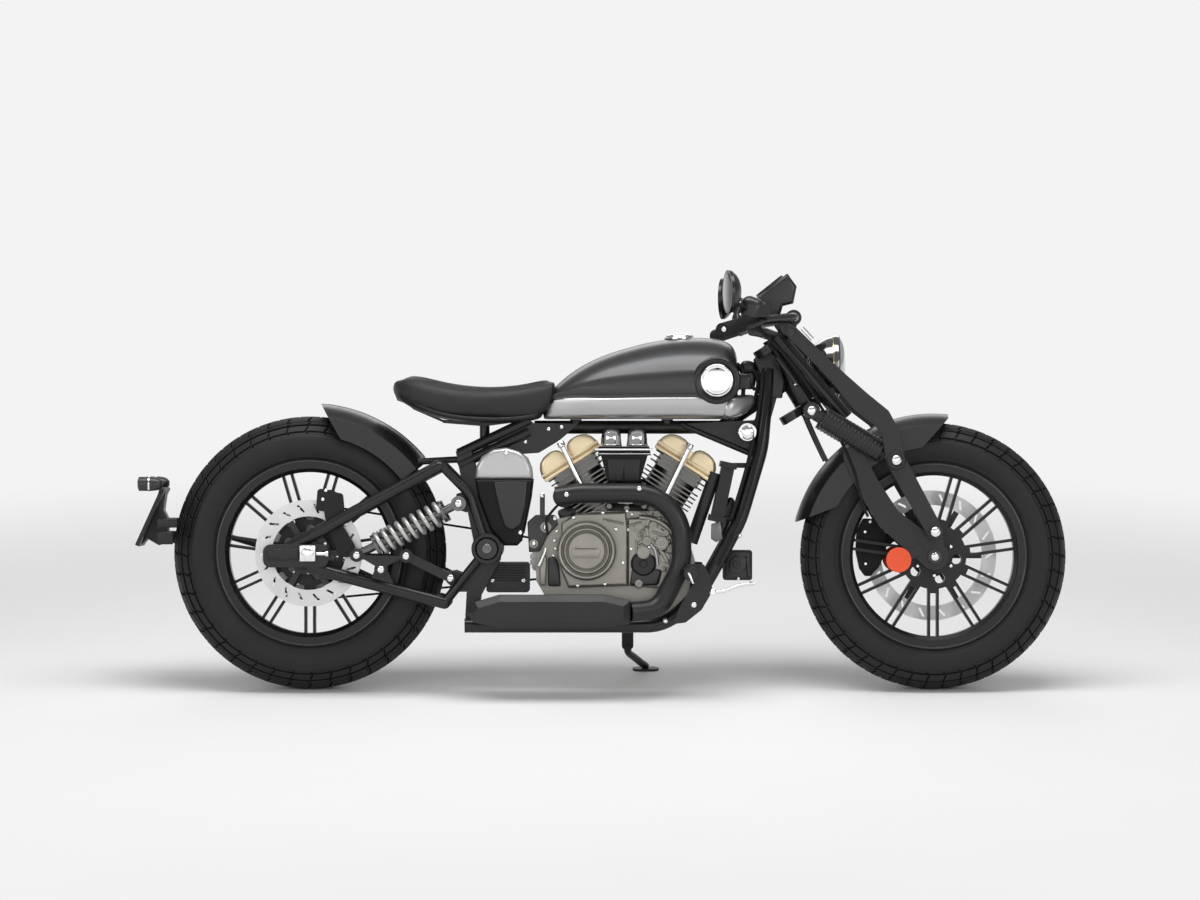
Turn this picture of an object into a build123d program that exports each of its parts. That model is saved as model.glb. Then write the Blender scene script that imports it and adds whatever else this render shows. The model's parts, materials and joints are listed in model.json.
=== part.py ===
from build123d import *
import os
from math import cos, sin, radians, sqrt, hypot, atan2, degrees

# Bobber motorcycle, millimetres. It is drawn upright in the bike's own frame:
# +X to the front, +Y to the rider's left, +Z up, x = 0 midway between the axles,
# z = 0 at the tyres' lowest line. The last section leans it onto its side stand.

# Stance
lean = 9.0
wheelbase = 1500.0
rake = 31.0
steer_head = (362.0, 828.0)
head_length = 146.0
air = 0.3

# Tyres and rims
front_tyre_r = 320.0
front_tyre_w = 130.0
rear_tyre_r = 328.0
rear_tyre_w = 150.0
crown_r = 72.5
bead_r = 208.0
flange_r = 222.0
bead_inset = 15.0
rim_wall = 5.0
spoke_count = 11
spoke_w = 28.0
spoke_slot = 14.0
spoke_depth = 34.0
hub_disc_r = 80.0
hub_r = 33.0
axle_r = 11.0

# Brakes and belt drive
front_disc_r = 157.0
front_disc_in = 122.0
rear_disc_r = 128.0
rear_disc_in = 88.0
disc_t = 6.0
front_disc_y = 63.0
rear_disc_y = -84.0
slot_count = 18
belt_y = 89.0
belt_w = 16.0
belt_t = 5.0
rear_pulley_r = 112.0
rear_pulley_teeth = 44
front_pulley_r = 42.0
front_pulley_x = -180.0
front_pulley_z = 310.0

# Frame
tube_r = 17.0
rail_y = 105.0
rail_z = 155.0
rail_tube_r = 12.0
rail_front_x = -222.0
rail_end_x = -376.0
neck_plate_y = 31.0
neck_bolt = (302.0, 618.0)
cradle_neck_y = 44.0
backbone_r = 16.0
backbone_z = 630.0
head_tube_r = 30.0
post_y = 65.0
post_t = 18.0
pivot_x = -322.0
pivot_z = 339.0
pivot_ring_r = 36.0

# Swingarm and rear springs
arm_y = 118.0
arm_r = 15.0
diagonal_r = 11.0
axle_block_l = 156.0
axle_block_h = 55.0
shock_y = 128.0
spring_r = 31.0
spring_wire = 11.0
spring_coils = 7
shock_front = (-390.0, 447.0)
rocker_a = (-633.0, 324.0)
rocker_b = (-575.0, 290.0)
rocker_c = (-515.0, 322.0)
link_d = (-409.0, 269.0)

# Engine
crank_x = 15.0
crank_z = 334.0
vee_half = 32.5
case_half = 78.0
barrel_r = 56.0
fin_half = 72.0
fin_t = 3.5
fin_pitch = 12.5
barrel_fin_pitch = 10.75
barrel_fin_low = 14.0
fin_count = 8
barrel_low = 108.0
head_low = 212.0
cover_low = 250.0
cover_high = 286.0
cover_half = 64.0
clutch_x = -84.0
clutch_r = 67.0
stack_r = 22.0
header_r = 23.5
header_y = -128.0
header_z = 472.0
header_x = 143.0
muffler_y = -162.0

# Tank and seat
tank_floor = 649.0
tank_half = 150.0
cap_x = 140.0
medallion_x = 227.0
medallion_z = 741.0
seat_rear_half = 150.0
seat_front_half = 100.0

# Fenders
front_fender_r = 343.0
rear_fender_r = 360.0
fender_t = 2.5
wheel_gap = 8.0

# Fork: girder arms outside, springs between, rigid legs beside the wheel
fork_tube_r = 18.0
fork_tube_y = 66.0
fork_top = (389.0, 828.0)
fork_low = (538.0, 652.0)
leg_y = 82.0
leg_t = 12.0
fork_shock_y = 115.5
fork_shock_r = 26.0
girder_y = 145.0
girder_t = 10.0
girder_w = 30.0
shock_top = (454.0, 669.0)
girder_low = (654.0, 551.0)
link_low = (748.0, 380.0)

# Handlebar
bar_r = 11.0
bar_x = 413.0
bar_z = 893.0
bar_half = 390.0
grip_r = 17.0
grip_length = 125.0
mirror_r = 51.0
lamp_r = 75.0
lamp_x = 540.0
lamp_z = 777.0

# Side stand
stand_pivot = (15.0, 120.0, 110.0)
stand_foot = (60.0, 232.0)
stand_r = 9.0
knuckle_half = 10.0
knuckle_r = 14.0
pin_r = 5.0
stand_axis = (0.0, 0.751, 0.66)


front_x = wheelbase / 2
rear_x = -wheelbase / 2
steer_dir = Vector(sin(radians(rake)), 0, -cos(radians(rake)))
steer_point = Vector(steer_head[0], 0, steer_head[1])

parts = {}


# Shapes used by every section

def side(y=0.0):
    return Plane(origin=(0, y, 0), x_dir=(1, 0, 0), z_dir=(0, -1, 0))


def rod(start, end, r, bore=0.0):
    start = Vector(*start)
    end = Vector(*end)
    profile = Circle(r)
    if bore:
        profile -= Circle(bore)
    return extrude(Plane(origin=start, z_dir=end - start) * profile, (end - start).length)


def boss(x, z, r, y, t, bore=0.0):
    return rod((x, y - t / 2, z), (x, y + t / 2, z), r, bore)


def plate(points, y, t):
    face = make_face(Polyline(*points, close=True))
    return extrude(side(y) * face, t / 2, both=True)


def bar_plate(points, widths, y, t):
    # a flat bar along a row of points, rounded at every point
    outline = Sketch()
    for (x, z), w in zip(points, widths):
        outline += Pos(x, z) * Circle(w / 2)
    for (a, wa), (b, wb) in zip(zip(points, widths), zip(points[1:], widths[1:])):
        run = hypot(b[0] - a[0], b[1] - a[1])
        turn = degrees(atan2(b[1] - a[1], b[0] - a[0]))
        strip = Polyline((0, -wa / 2), (run, -wb / 2), (run, wb / 2), (0, wa / 2), close=True)
        outline += Pos(a[0], a[1]) * Rot(0, 0, turn) * make_face(strip)
    return extrude(side(y) * outline, t / 2, both=True)


def tube(points, r, radii):
    path = FilletPolyline(*points, radius=radii)
    return sweep(Plane(origin=path @ 0, z_dir=path % 0) * Circle(r), path)


def flip(shape):
    return mirror(shape, about=Plane.XZ)


def pair(shape):
    return [shape, flip(shape)]


def group(*solids):
    flat = []
    for item in solids:
        flat.extend(item if isinstance(item, (list, tuple)) else [item])
    return Compound(children=[piece for item in flat for piece in item.solids()])


def about_axle(face, x, z):
    # turns a section of half width against radius round a wheel's axle
    section = Plane(origin=(0, 0, 0), x_dir=(0, 1, 0), z_dir=(1, 0, 0)) * face
    return Pos(x, 0, z) * revolve(section, Axis.Y)


# Wheels

def tyre(radius, width, x):
    half = width / 2
    bead = half - bead_inset
    shoulder = 0.77 * half
    drop = crown_r - sqrt(crown_r ** 2 - shoulder ** 2)
    belly = (bead_r + radius) / 2
    right = [
        Line((bead, bead_r), (bead, flange_r + 2)),
        ThreePointArc((bead, flange_r + 2), (half, belly), (shoulder, radius - drop)),
    ]
    crown = ThreePointArc((shoulder, radius - drop), (0, radius), (-shoulder, radius - drop))
    left = [edge.mirror(Plane.YZ) for edge in right]
    edges = right + [crown] + left + [Line((-bead, bead_r), (bead, bead_r))]
    return about_axle(make_face(edges), x, radius)


def rim(tyre_w, hub_half, x, z):
    seat = bead_r - air
    inner = tyre_w / 2 - bead_inset + air
    outer = inner + rim_wall
    half_outline = [
        (0, seat - 9), (18, seat - 9), (22, seat), (inner, seat), (inner, flange_r),
        (outer, flange_r), (outer, seat - rim_wall), (30, seat - rim_wall), (24, seat - 14),
    ]
    outline = half_outline + [(-y, r) for y, r in reversed(half_outline) if y > 0]
    barrel = about_axle(make_face(Polyline(*outline, close=True)), 0, 0)
    hub = boss(0, 0, hub_r, 0, 2 * hub_half) + boss(0, 0, hub_disc_r, 0, spoke_depth + 6)
    reach = seat - 12
    arm = Pos(0, 0, -(hub_disc_r + reach) / 2 + 4) * Box(spoke_w, spoke_depth, reach - hub_disc_r + 8)
    slot_end = seat - 14
    slot_start = hub_disc_r + 10
    slot = Pos(0, 0, -(slot_start + slot_end) / 2) * Box(spoke_slot, spoke_depth + 2, slot_end - slot_start)
    spoke = arm - slot
    turns = [360 / spoke_count * i for i in range(spoke_count)]
    wheel = barrel + hub + [spoke.rotate(Axis.Y, turn) for turn in turns]
    windows = [boss((hub_disc_r + hub_r) / 2, 0, 12, 0, spoke_depth + 8).rotate(Axis.Y, turn + 90 / spoke_count)
               for turn in turns[::2]]
    wheel = wheel - windows[:5] - boss(0, 0, axle_r + 2 * air, 0, 2 * hub_half + 2)
    return Pos(x, 0, z) * wheel


def brake_disc(r_out, r_in, carrier_r, y, x, z):
    ring = Circle(r_out) - Circle(r_in)
    middle = (r_out + r_in) / 2
    slots = [loc * Rot(0, 0, 35) * SlotOverall(24, 5) for loc in PolarLocations(middle, slot_count)]
    ring = ring - slots
    reach = r_in + 6 - carrier_r
    arms = [loc * Rectangle(reach + 8, 14) for loc in PolarLocations(carrier_r + reach / 2 - 2, 6)]
    ring = ring + Circle(carrier_r) + arms - Circle(hub_r + air)
    return Pos(x, 0, z) * extrude(side(y) * ring, disc_t / 2, both=True)


front_hub_half = front_disc_y + disc_t / 2 + 4
rear_hub_half = belt_y + belt_w / 2 + 2
parts["front_tyre"] = tyre(front_tyre_r, front_tyre_w, front_x)
parts["rear_tyre"] = tyre(rear_tyre_r, rear_tyre_w, rear_x)
parts["front_rim"] = rim(front_tyre_w, front_hub_half, front_x, front_tyre_r)
parts["rear_rim"] = rim(rear_tyre_w, rear_hub_half, rear_x, rear_tyre_r)
parts["front_disc"] = brake_disc(front_disc_r, front_disc_in, 52, front_disc_y, front_x, front_tyre_r)
parts["rear_disc"] = brake_disc(rear_disc_r, rear_disc_in, 52, rear_disc_y, rear_x, rear_tyre_r)


# Belt drive

def toothed(radius, teeth, bore):
    wheel = Circle(radius) - Circle(bore)
    gaps = [loc * Rectangle(6, 4) for loc in PolarLocations(radius, teeth)]
    return wheel - gaps


def belt_loop(offset):
    # the outline round both pulleys, grown by offset
    run = hypot(front_pulley_x - rear_x, front_pulley_z - rear_tyre_r)
    turn = degrees(atan2(front_pulley_z - rear_tyre_r, front_pulley_x - rear_x))
    big = rear_pulley_r + offset
    small = front_pulley_r + offset
    slope = (big - small) / run
    up = sqrt(1 - slope ** 2)
    flanks = Polyline((big * slope, big * up), (run + small * slope, small * up),
                      (run + small * slope, -small * up), (big * slope, -big * up), close=True)
    loop = Circle(big) + Pos(run, 0) * Circle(small) + make_face(flanks)
    return Pos(rear_x, rear_tyre_r) * Rot(0, 0, turn) * loop


rear_pulley = toothed(rear_pulley_r, rear_pulley_teeth, hub_r + air)
rear_pulley -= [loc * Circle(17) for loc in PolarLocations(rear_pulley_r * 0.64, 6)]
parts["rear_pulley"] = Pos(rear_x, 0, rear_tyre_r) * extrude(side(belt_y) * rear_pulley, belt_w / 2, both=True)
belt_gap = 1.0
belt = belt_loop(belt_gap + belt_t) - belt_loop(belt_gap)
parts["drive_belt"] = extrude(side(belt_y) * belt, belt_w / 2, both=True)
front_pulley = toothed(front_pulley_r, 16, 8)
pulley_shaft = rod((front_pulley_x, case_half, front_pulley_z),
                   (front_pulley_x, belt_y - belt_w / 2, front_pulley_z), 20)
pulley_disc = extrude(side(belt_y) * Pos(front_pulley_x, front_pulley_z) * front_pulley, belt_w / 2, both=True)
parts["front_pulley"] = pulley_disc + pulley_shaft


# Frame

def steer(s, ahead=0.0, y=0.0):
    # a point s down the steering axis, moved ahead of it square to it
    square = Vector(cos(radians(rake)), 0, sin(radians(rake)))
    return steer_point + steer_dir * s + square * ahead + Vector(0, y, 0)


head_start = 14.0
head_tube = rod(tuple(steer(head_start)), tuple(steer(head_start + head_length)), head_tube_r, 18)
backbone = rod((400, 0, 738), (240, 0, backbone_z), backbone_r)
spine = rod((240, 0, backbone_z), (rail_front_x + rail_tube_r, 0, backbone_z), backbone_r)
neck_plates = pair(plate([(138, 638), (320, 647), (372, 742), (385, 742), (331, 553)], neck_plate_y, 6))
neck_ribs = pair(rod((150, neck_plate_y, 634), (326, neck_plate_y, 560), 7))
neck_caps = [boss(neck_bolt[0], neck_bolt[1], 23, s * (cradle_neck_y + 8), 16) for s in (1, -1)]
bridge = rod((neck_bolt[0], -cradle_neck_y, neck_bolt[1]), (neck_bolt[0], cradle_neck_y, neck_bolt[1]), 12)
head_bore = rod(tuple(steer(0)), tuple(steer(head_start + head_length + 20)), 18)
tank_pads = [rod((x, 0, backbone_z), (x, 0, tank_floor - air), 14) for x in (110, -110)]
parts["frame_spine"] = (head_tube + tank_pads + backbone + spine + Sphere(backbone_r).moved(Pos(240, 0, backbone_z))
                        + neck_plates + neck_ribs + neck_caps + bridge) - head_bore

cradle_path = [(352, 36, 770), (336, 49, 580), (284, 66, 406), (190, 92, 235), (104, rail_y, rail_z),
               (rail_end_x, rail_y, rail_z)]
cradle = tube(cradle_path, tube_r, [260, 260, 300, 110])
pivot_top = Vector(*stand_pivot)
hinge = Vector(*stand_axis)
hinge_plane = Plane(origin=pivot_top, x_dir=(1, 0, 0), z_dir=hinge)
ear_t = 6.0
ear_low = knuckle_half + air
ear_shape = Circle(knuckle_r) + Pos(0, -knuckle_r - 10) * Rectangle(2 * knuckle_r, 2 * knuckle_r + 20)
ears = [hinge_plane * Pos(0, 0, z) * extrude(ear_shape, ear_t) for z in (ear_low, -ear_low - ear_t)]
bridge_block = hinge_plane * Pos(0, -2 * knuckle_r - 4, 0) * Box(2 * knuckle_r, 20, 2 * (ear_low + ear_t))
hinge_pin = hinge_plane * Cylinder(pin_r, 2 * (ear_low + ear_t) + 6)
stand_lug = ears[0] + ears[1] + bridge_block + hinge_pin
parts["frame_cradle"] = group(flip(cradle) - parts["frame_spine"], cradle + stand_lug - parts["frame_spine"])

post = plate([(-398, 572), (-362, 580), (-322, 420), (-286, 345), (-292, 310), (-338, 225),
              (-346, rail_z), (rail_end_x, rail_z), (-372, 232), (-352, 316), (-356, 360)], post_y, post_t)
post = post + boss(pivot_x, pivot_z, pivot_ring_r, post_y, post_t + 4)
rails = [rod((rail_front_x, post_y, 647 - drop), (-392, post_y, 566 - drop), rail_tube_r) for drop in (0, 28)]
low_tie_x = rail_end_x + 14
stay = rod((low_tie_x, post_y, rail_z), (low_tie_x, rail_y - tube_r, rail_z), 11)
gusset = plate([(-104, 638), (-150, 598), (-200, 568), (-258, 564), (-300, 596), (-230, 640)], post_y, 8)
post_solid = post + rails + stay + gusset
eye_stud = rod((shock_front[0], post_y, shock_front[1]), (shock_front[0], shock_y + 14, shock_front[1]), 8)
eye_lug = plate([(-396, 470), (-370, 478), (-350, 440), (-372, 425), (-402, 435)], post_y, post_t)
link_stud = rod((link_d[0], post_y, link_d[1]), (link_d[0], shock_y + 10, link_d[1]), 7)
link_lug = plate([(-420, 282), (-398, 285), (-352, 268), (-360, 235), (-395, 235), (-420, 258)], post_y, post_t)
rear_side = post_solid + eye_stud + eye_lug + link_stud + link_lug
cross_top = [rod((rail_front_x, -post_y, 633), (rail_front_x, post_y, 633), rail_tube_r),
             rod((-330, -post_y, 590), (-330, post_y, 590), 10)]
cross_low = rod((low_tie_x, -post_y, rail_z), (low_tie_x, post_y, rail_z), 11)
pivot_shaft_r = 12.0
pivot_hole = rod((pivot_x, -arm_y - 30, pivot_z), (pivot_x, arm_y + 30, pivot_z), pivot_shaft_r)
parts["frame_rear"] = rear_side + flip(rear_side) + cross_top + cross_low - pivot_hole


# Engine

def along(side_sign, distance, across=0.0):
    # a point up a cylinder's axis: side_sign is +1 for the front cylinder
    tilt = radians(vee_half)
    x = crank_x + side_sign * (distance * sin(tilt) - across * cos(tilt))
    z = crank_z + distance * cos(tilt) + across * sin(tilt)
    return x, z


def up_axis(side_sign, distance):
    x, z = along(side_sign, distance)
    tilt = radians(vee_half)
    return Plane(origin=(x, 0, z), x_dir=(0, 1, 0), z_dir=(side_sign * sin(tilt), 0, cos(tilt)))


case_outline = [(-205, 262), (-205, 352), (-160, 408), (-70, 428), (95, 428), (150, 392), (176, 310),
                (158, 225), (105, 178), (-120, 178), (-178, 215)]
case = plate(case_outline, 0, 2 * case_half)
case = fillet(case.edges().filter_by(Axis.Y), 12)
mount_r = 12.0
mount_z = rail_z + tube_r + air + mount_r
for x in (50, -110):
    case += rod((x, -rail_y, mount_z), (x, rail_y, mount_z), mount_r)
right_half = plate([(15, 250), (15, 412), (110, 418), (132, 372), (150, 305), (132, 240)],
                   -case_half - 11, 22)
case = case + fillet(right_half.faces().sort_by(Axis.Y)[0].edges(), 6)
pump = boss(78, 366, 25, -case_half - 25, 14) + boss(52, 330, 15, -case_half - 25, 14)
pump += rod((78, -case_half - 26, 366), (103, -case_half - 26, 318), 8) + boss(103, 318, 12, -case_half - 25, 14)
parts["crankcase"] = case + pump

cover_plate = plate([(-144, 400), (-110, 424), (10, 428), (14, 390), (14, 250), (-128, 245), (-146, 290)],
                    -case_half - 13, 26)
cover_plate = fillet(cover_plate.faces().sort_by(Axis.Y)[0].edges(), 7)
clutch = boss(clutch_x, crank_z, clutch_r + 2, -case_half - 30, 12)
clutch += boss(clutch_x, crank_z, clutch_r - 4, -case_half - 38, 10)
clutch -= boss(clutch_x, crank_z, clutch_r - 11, -case_half - 42, 6)
clutch += boss(clutch_x, crank_z, clutch_r - 15, -case_half - 40, 8)
clutch -= [Pos(clutch_x, -case_half - 44, crank_z + dz) * Box(w, 3, 4) for dz, w in ((18, 56), (-10, 72))]

left_cover = plate([(-95, 250), (-110, 330), (-60, 410), (70, 415), (125, 370), (128, 270), (70, 225)],
                   case_half + 12, 24)
left_cover = fillet(left_cover.faces().sort_by(Axis.Y)[-1].edges(), 7)
parts["engine_covers"] = group(cover_plate + clutch, left_cover + boss(crank_x, crank_z, 62, case_half + 32, 18))


def fin_plate(half, t, cut):
    outline = Polyline((-half + cut, -half), (half - cut, -half), (half, -half + cut), (half, half - cut),
                       (half - cut, half), (-half + cut, half), (-half, half - cut), (-half, -half + cut),
                       close=True)
    return extrude(make_face(outline), t)


covers = []
valley = {"front": Pos(crank_x - 199.5, 0, 500) * Box(400, 400, 400),
          "rear": Pos(crank_x + 199.5, 0, 500) * Box(400, 400, 400)}
for name, sign in (("front", 1), ("rear", -1)):
    barrel = extrude(Plane.XY * Circle(barrel_r), head_low - barrel_low)
    for i in range(fin_count):
        barrel += Pos(0, 0, barrel_fin_low + i * barrel_fin_pitch) * fin_plate(fin_half, fin_t, 16)
    head = extrude(Plane.XY * Rectangle(118, 118), cover_low - head_low)
    for i in range(3):
        head += Pos(0, 0, 2 + i * fin_pitch) * fin_plate(fin_half, fin_t, 20)
    whole = Location(up_axis(sign, barrel_low)) * (barrel + Pos(0, 0, head_low - barrel_low) * head)
    parts["cylinder_" + name] = whole - case - valley[name]
    cover = fin_plate(cover_half, cover_high - cover_low - air, 14)
    cover = chamfer(cover.faces().sort_by(Axis.Z)[-1].edges(), 10)
    covers.append(Location(up_axis(sign, cover_low + air)) * cover)
parts["rocker_covers"] = group(covers)

push_y = -fin_half - 12
push_rods = []
for sign in (1, -1):
    top_x, top_z = along(sign, cover_low + 18, -22)
    low_x, low_z = along(sign, barrel_low + 26, -22)
    push_rods.append(rod((low_x, push_y, low_z), (top_x, push_y, top_z), 8)
                     + rod((top_x, push_y, top_z), (top_x, -cover_half - air, top_z), 6))
parts["pushrod_tubes"] = group(push_rods)

box_out = -header_y - header_r - 3
box_in = fin_half + air
box_y = -(box_out + box_in) / 2
box_low = plate([(-34, 500), (44, 500), (62, 562), (-50, 562)], box_y, box_out - box_in)
lid = plate([(-58, 562), (70, 562), (66, 584), (-54, 584)], box_y, box_out - box_in)
plenum = plate([(-30, 553), (60, 553), (66, 584), (-36, 584)], -20, 2 * box_in - 40)
parts["air_box"] = box_low + lid + plenum
stacks = []
for x in (-25, 38):
    stacks.append(rod((x, -62, 584 + air), (x, -62, 628), stack_r, stack_r - 5))
    stacks.append(rod((x, -62, 584 + air), (x, -62, 590), stack_r - 5))
parts["intake_stacks"] = group(*stacks)

port_y = -fin_half
header_path = [(-158, header_y, header_z - 8), (-100, header_y, header_z), (header_x, header_y, header_z),
               (header_x, header_y, 300), (88, header_y - 14, 194), (20 + air, muffler_y, 189)]
header = tube(header_path, header_r, [80, 112, 120, 60])
ports = []
port_places = ((-138, header_z - 4), (44, header_z))
for x, z in port_places:
    ports.append(rod((x, header_y, z), (x, port_y - 2, z - 4), 18))
flanges = [boss(x, z - 4, 27, port_y - 6, 8) for x, z in port_places]
header = header + ports + flanges

muffler_outline = [(-372, 188), (-350, 213), (-293, 230), (-40, 230), (20, 216), (20, 160), (-40, 152),
                   (-293, 152), (-352, 164)]
muffler = plate(muffler_outline, muffler_y, 72)
muffler = chamfer(muffler.faces().filter_by(Axis.Y).edges(), 16)
parts["muffler"] = muffler
parts["exhaust_header"] = header - muffler

core = Box(30, 170, 118)
for z in (-42, -28, -14, 0, 14, 28, 42):
    core -= Pos(15, 0, z) * Box(8, 160, 6)
tanks = [Pos(0, 0, z) * Box(40, 180, 14) for z in (-66, 66)]
radiator = Pos(243, 0, 474) * Rot(0, 12, 0) * (core + tanks)
for x, y, z in ((266, 58, 538), (240, 64, 410)):
    radiator += [rod((x, s * y, z), (x + 48, s * y, z), 6) for s in (1, -1)]
radiator += [rod((226, s * 60, 520), (168, s * 60, 352), 14) for s in (1, -1)]
parts["radiator"] = radiator - cradle - flip(cradle) - parts["crankcase"]


# Body pieces between engine and swingarm

cover_face = [(-351, 505), (-212, 505), (-217, 462), (-238, 358), (-250, 346), (-283, 346), (-316, 386),
              (-344, 462)]
cover_in = post_y + rail_tube_r + air
cover_t = 28.0
cover_y = cover_in + cover_t / 2
side_cover = fillet(plate(cover_face, cover_y, cover_t).faces().sort_by(Axis.Y)[-1].edges(), 8)
belt_room = extrude(side(belt_y) * belt_loop(belt_gap + belt_t + 6), 24, both=True)
parts["side_covers"] = group(flip(side_cover), side_cover - belt_room)
cap_face = make_face([Line((-351, 505 + air), (-212, 505 + air)), Line((-212, 505 + air), (-218, 536)),
                      ThreePointArc((-218, 536), (-266, 578), (-330, 567)),
                      ThreePointArc((-330, 567), (-346, 552), (-351, 505 + air))])
side_cap = extrude(side(cover_y) * cap_face, cover_t / 2, both=True)
side_cap = fillet(side_cap.faces().sort_by(Axis.Y)[-1].edges(), 9)
parts["side_cover_caps"] = group(pair(side_cap))

battery = Pos(-273, 0, 269) * Box(104, 2 * (post_y - post_t / 2 - 3), 72)
parts["battery_box"] = fillet(battery.edges().filter_by(Axis.Y), 8)


# Tank, cap, medallions and seat

def tank_face(x, half, floor, top, belly):
    low = half * 0.86
    high = half * 0.7
    shoulder = floor + (top - floor) * 0.84
    waist = floor + (top - floor) * belly
    right = ThreePointArc((low, floor), (half, waist), (high, shoulder))
    crown = ThreePointArc((high, shoulder), (0, top), (-high, shoulder))
    left = ThreePointArc((-high, shoulder), (-half, waist), (-low, floor))
    base = Line((-low, floor), (low, floor))
    return Plane(origin=(x, 0, 0), x_dir=(0, 1, 0), z_dir=(1, 0, 0)) * make_face([base, right, crown, left])


tank_rows = [
    # x, half width, top, height of the widest line as a share
    (-188, 52, 664, 0.50),
    (-150, 84, 742, 0.42),
    (-52, 116, 799, 0.40),
    (100, 142, 837, 0.40),
    (205, 146, 843, 0.40),
    (285, 112, 812, 0.42),
]
tank = loft([tank_face(x, half, tank_floor, top, belly) for x, half, top, belly in tank_rows])
nose = loft([tank_face(285, 100, tank_floor + 2, 762, 0.45), tank_face(318, 74, tank_floor + 22, 748, 0.45)])
tunnel = plate([(215, 640), (345, 640), (390, 775), (340, 775), (215, 668)], 0, 2 * (neck_plate_y + 8))
parts["fuel_tank"] = tank + nose - tunnel
fuel_cap = rod((cap_x, 0, 838), (cap_x, 0, 846), 38) + rod((cap_x, 0, 846), (cap_x, 0, 856), 32)
parts["fuel_cap"] = fuel_cap - parts["fuel_tank"]
medal = boss(medallion_x, medallion_z, 40, -tank_half + 5, 12)
parts["tank_medallions"] = group(pair(medal - parts["fuel_tank"]))

seat_side = make_face([
    ThreePointArc((-553, 731), (-530, 749), (-498, 753)),
    ThreePointArc((-498, 753), (-330, 723), (-158, 748)),
    Line((-158, 748), (-196, 668)),
    ThreePointArc((-196, 668), (-330, 645), (-430, 652)),
    ThreePointArc((-430, 652), (-500, 684), (-553, 731)),
])
seat_plan = make_face([
    Line((-158, -seat_front_half + 14), (-250, -seat_front_half - 6)),
    ThreePointArc((-250, -seat_front_half - 6), (-400, -seat_rear_half), (-500, -seat_rear_half + 22)),
    ThreePointArc((-500, -seat_rear_half + 22), (-553, 0), (-500, seat_rear_half - 22)),
    ThreePointArc((-500, seat_rear_half - 22), (-400, seat_rear_half), (-250, seat_front_half + 6)),
    Line((-250, seat_front_half + 6), (-158, seat_front_half - 14)),
    Line((-158, seat_front_half - 14), (-158, -seat_front_half + 14)),
])
seat = extrude(side(0) * seat_side, 170, both=True) & extrude(Plane.XY * seat_plan, 900)
parts["seat"] = seat
pan = plate([(-430, 648), (-330, 642), (-240, 651), (-240, 644), (-330, 632), (-430, 640)], 0, 100)
pan_post = rod((-330, 0, 600 + air), (-330, 0, 636), 12)
lamp_strip = plate([(-426, 646), (-500, 678), (-529.6, 702), (-529.6, 695), (-500, 672), (-426, 640)], 0, 44)
parts["seat_pan"] = pan + pan_post + lamp_strip - parts["seat"]

parts["tail_lamp"] = fillet((Pos(-539, 0, 693) * Box(18, 84, 22)).edges().filter_by(Axis.Z), 6)


# Swingarm, springs and rockers

block = Pos(rear_x - 29, arm_y, rear_tyre_r - 6) * Box(axle_block_l, 2 * arm_r, axle_block_h)
block = fillet(block.edges().filter_by(Axis.Y), 18)
upper_arm = rod((-799, arm_y, 340), (-437, arm_y, 536), arm_r)
lower_arm = rod((-751, arm_y, 296), (-424, arm_y, 210), arm_r)
diagonal = tube([(-431, arm_y, 538), (-364, arm_y, 470), (pivot_x, arm_y, pivot_z)], diagonal_r, [80])
strut = rod((-424, arm_y, 210), (pivot_x, arm_y, pivot_z), diagonal_r)
arm_boss = boss(pivot_x, pivot_z, pivot_ring_r - 4, arm_y, 2 * arm_r)
rocker_lug = plate([(-602, 262), (-585, 300), (-565, 300), (-540, 244)], arm_y, 2 * arm_r - 14)
arm_side = block + upper_arm + lower_arm + diagonal + strut + arm_boss + rocker_lug
arm_side += Sphere(arm_r).moved(Pos(-437, arm_y, 536)) + Sphere(arm_r).moved(Pos(-424, arm_y, 210))
axle_hole = rod((rear_x, -160, rear_tyre_r), (rear_x, 160, rear_tyre_r), axle_r)
parts["swingarm"] = group(flip(arm_side) - axle_hole - pivot_hole, arm_side - axle_hole - pivot_hole)
pivot_caps = [boss(pivot_x, pivot_z, 24, s * (arm_y + arm_r + 5), 10) for s in (1, -1)]
pivot_bolt = rod((pivot_x, -arm_y - arm_r, pivot_z), (pivot_x, arm_y + arm_r, pivot_z),
                 pivot_shaft_r - 0.1) + pivot_caps
nuts = [boss(rear_x, rear_tyre_r, 19, s * (arm_y + arm_r + 6), 12) for s in (1, -1)]
rear_bolt = rod((rear_x, -arm_y - arm_r, rear_tyre_r), (rear_x, arm_y + arm_r, rear_tyre_r),
                axle_r - 0.1) + nuts
parts["swingarm_bolts"] = group(pivot_bolt, rear_bolt)


def strut_frame(a, b, y):
    # a plane at a, its z towards b
    return Plane(origin=(a[0], y, a[1]), z_dir=(b[0] - a[0], 0, b[1] - a[1]), x_dir=(0, 1, 0))


shock_l = hypot(rocker_a[0] - shock_front[0], rocker_a[1] - shock_front[1])
spring_from = 48.0
spring_to = shock_l - 56.0


def rear_shock():
    eye_bore = 8.1
    eye_front = Rot(0, 90, 0) * extrude(Circle(18) - Circle(eye_bore), 12, both=True)
    eye_back = Pos(0, 0, shock_l) * Rot(0, 90, 0) * extrude(Circle(16) - Circle(7.1), 9, both=True)
    body = Pos(0, 0, 17) * Cylinder(10, shock_l - 32, align=(Align.CENTER, Align.CENTER, Align.MIN))
    cups = [Pos(0, 0, z) * Cylinder(spring_r - 4, 8, align=(Align.CENTER, Align.CENTER, Align.MIN))
            for z in (spring_from - 8 - air, spring_to + air)]
    return eye_front + eye_back + body + cups


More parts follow.
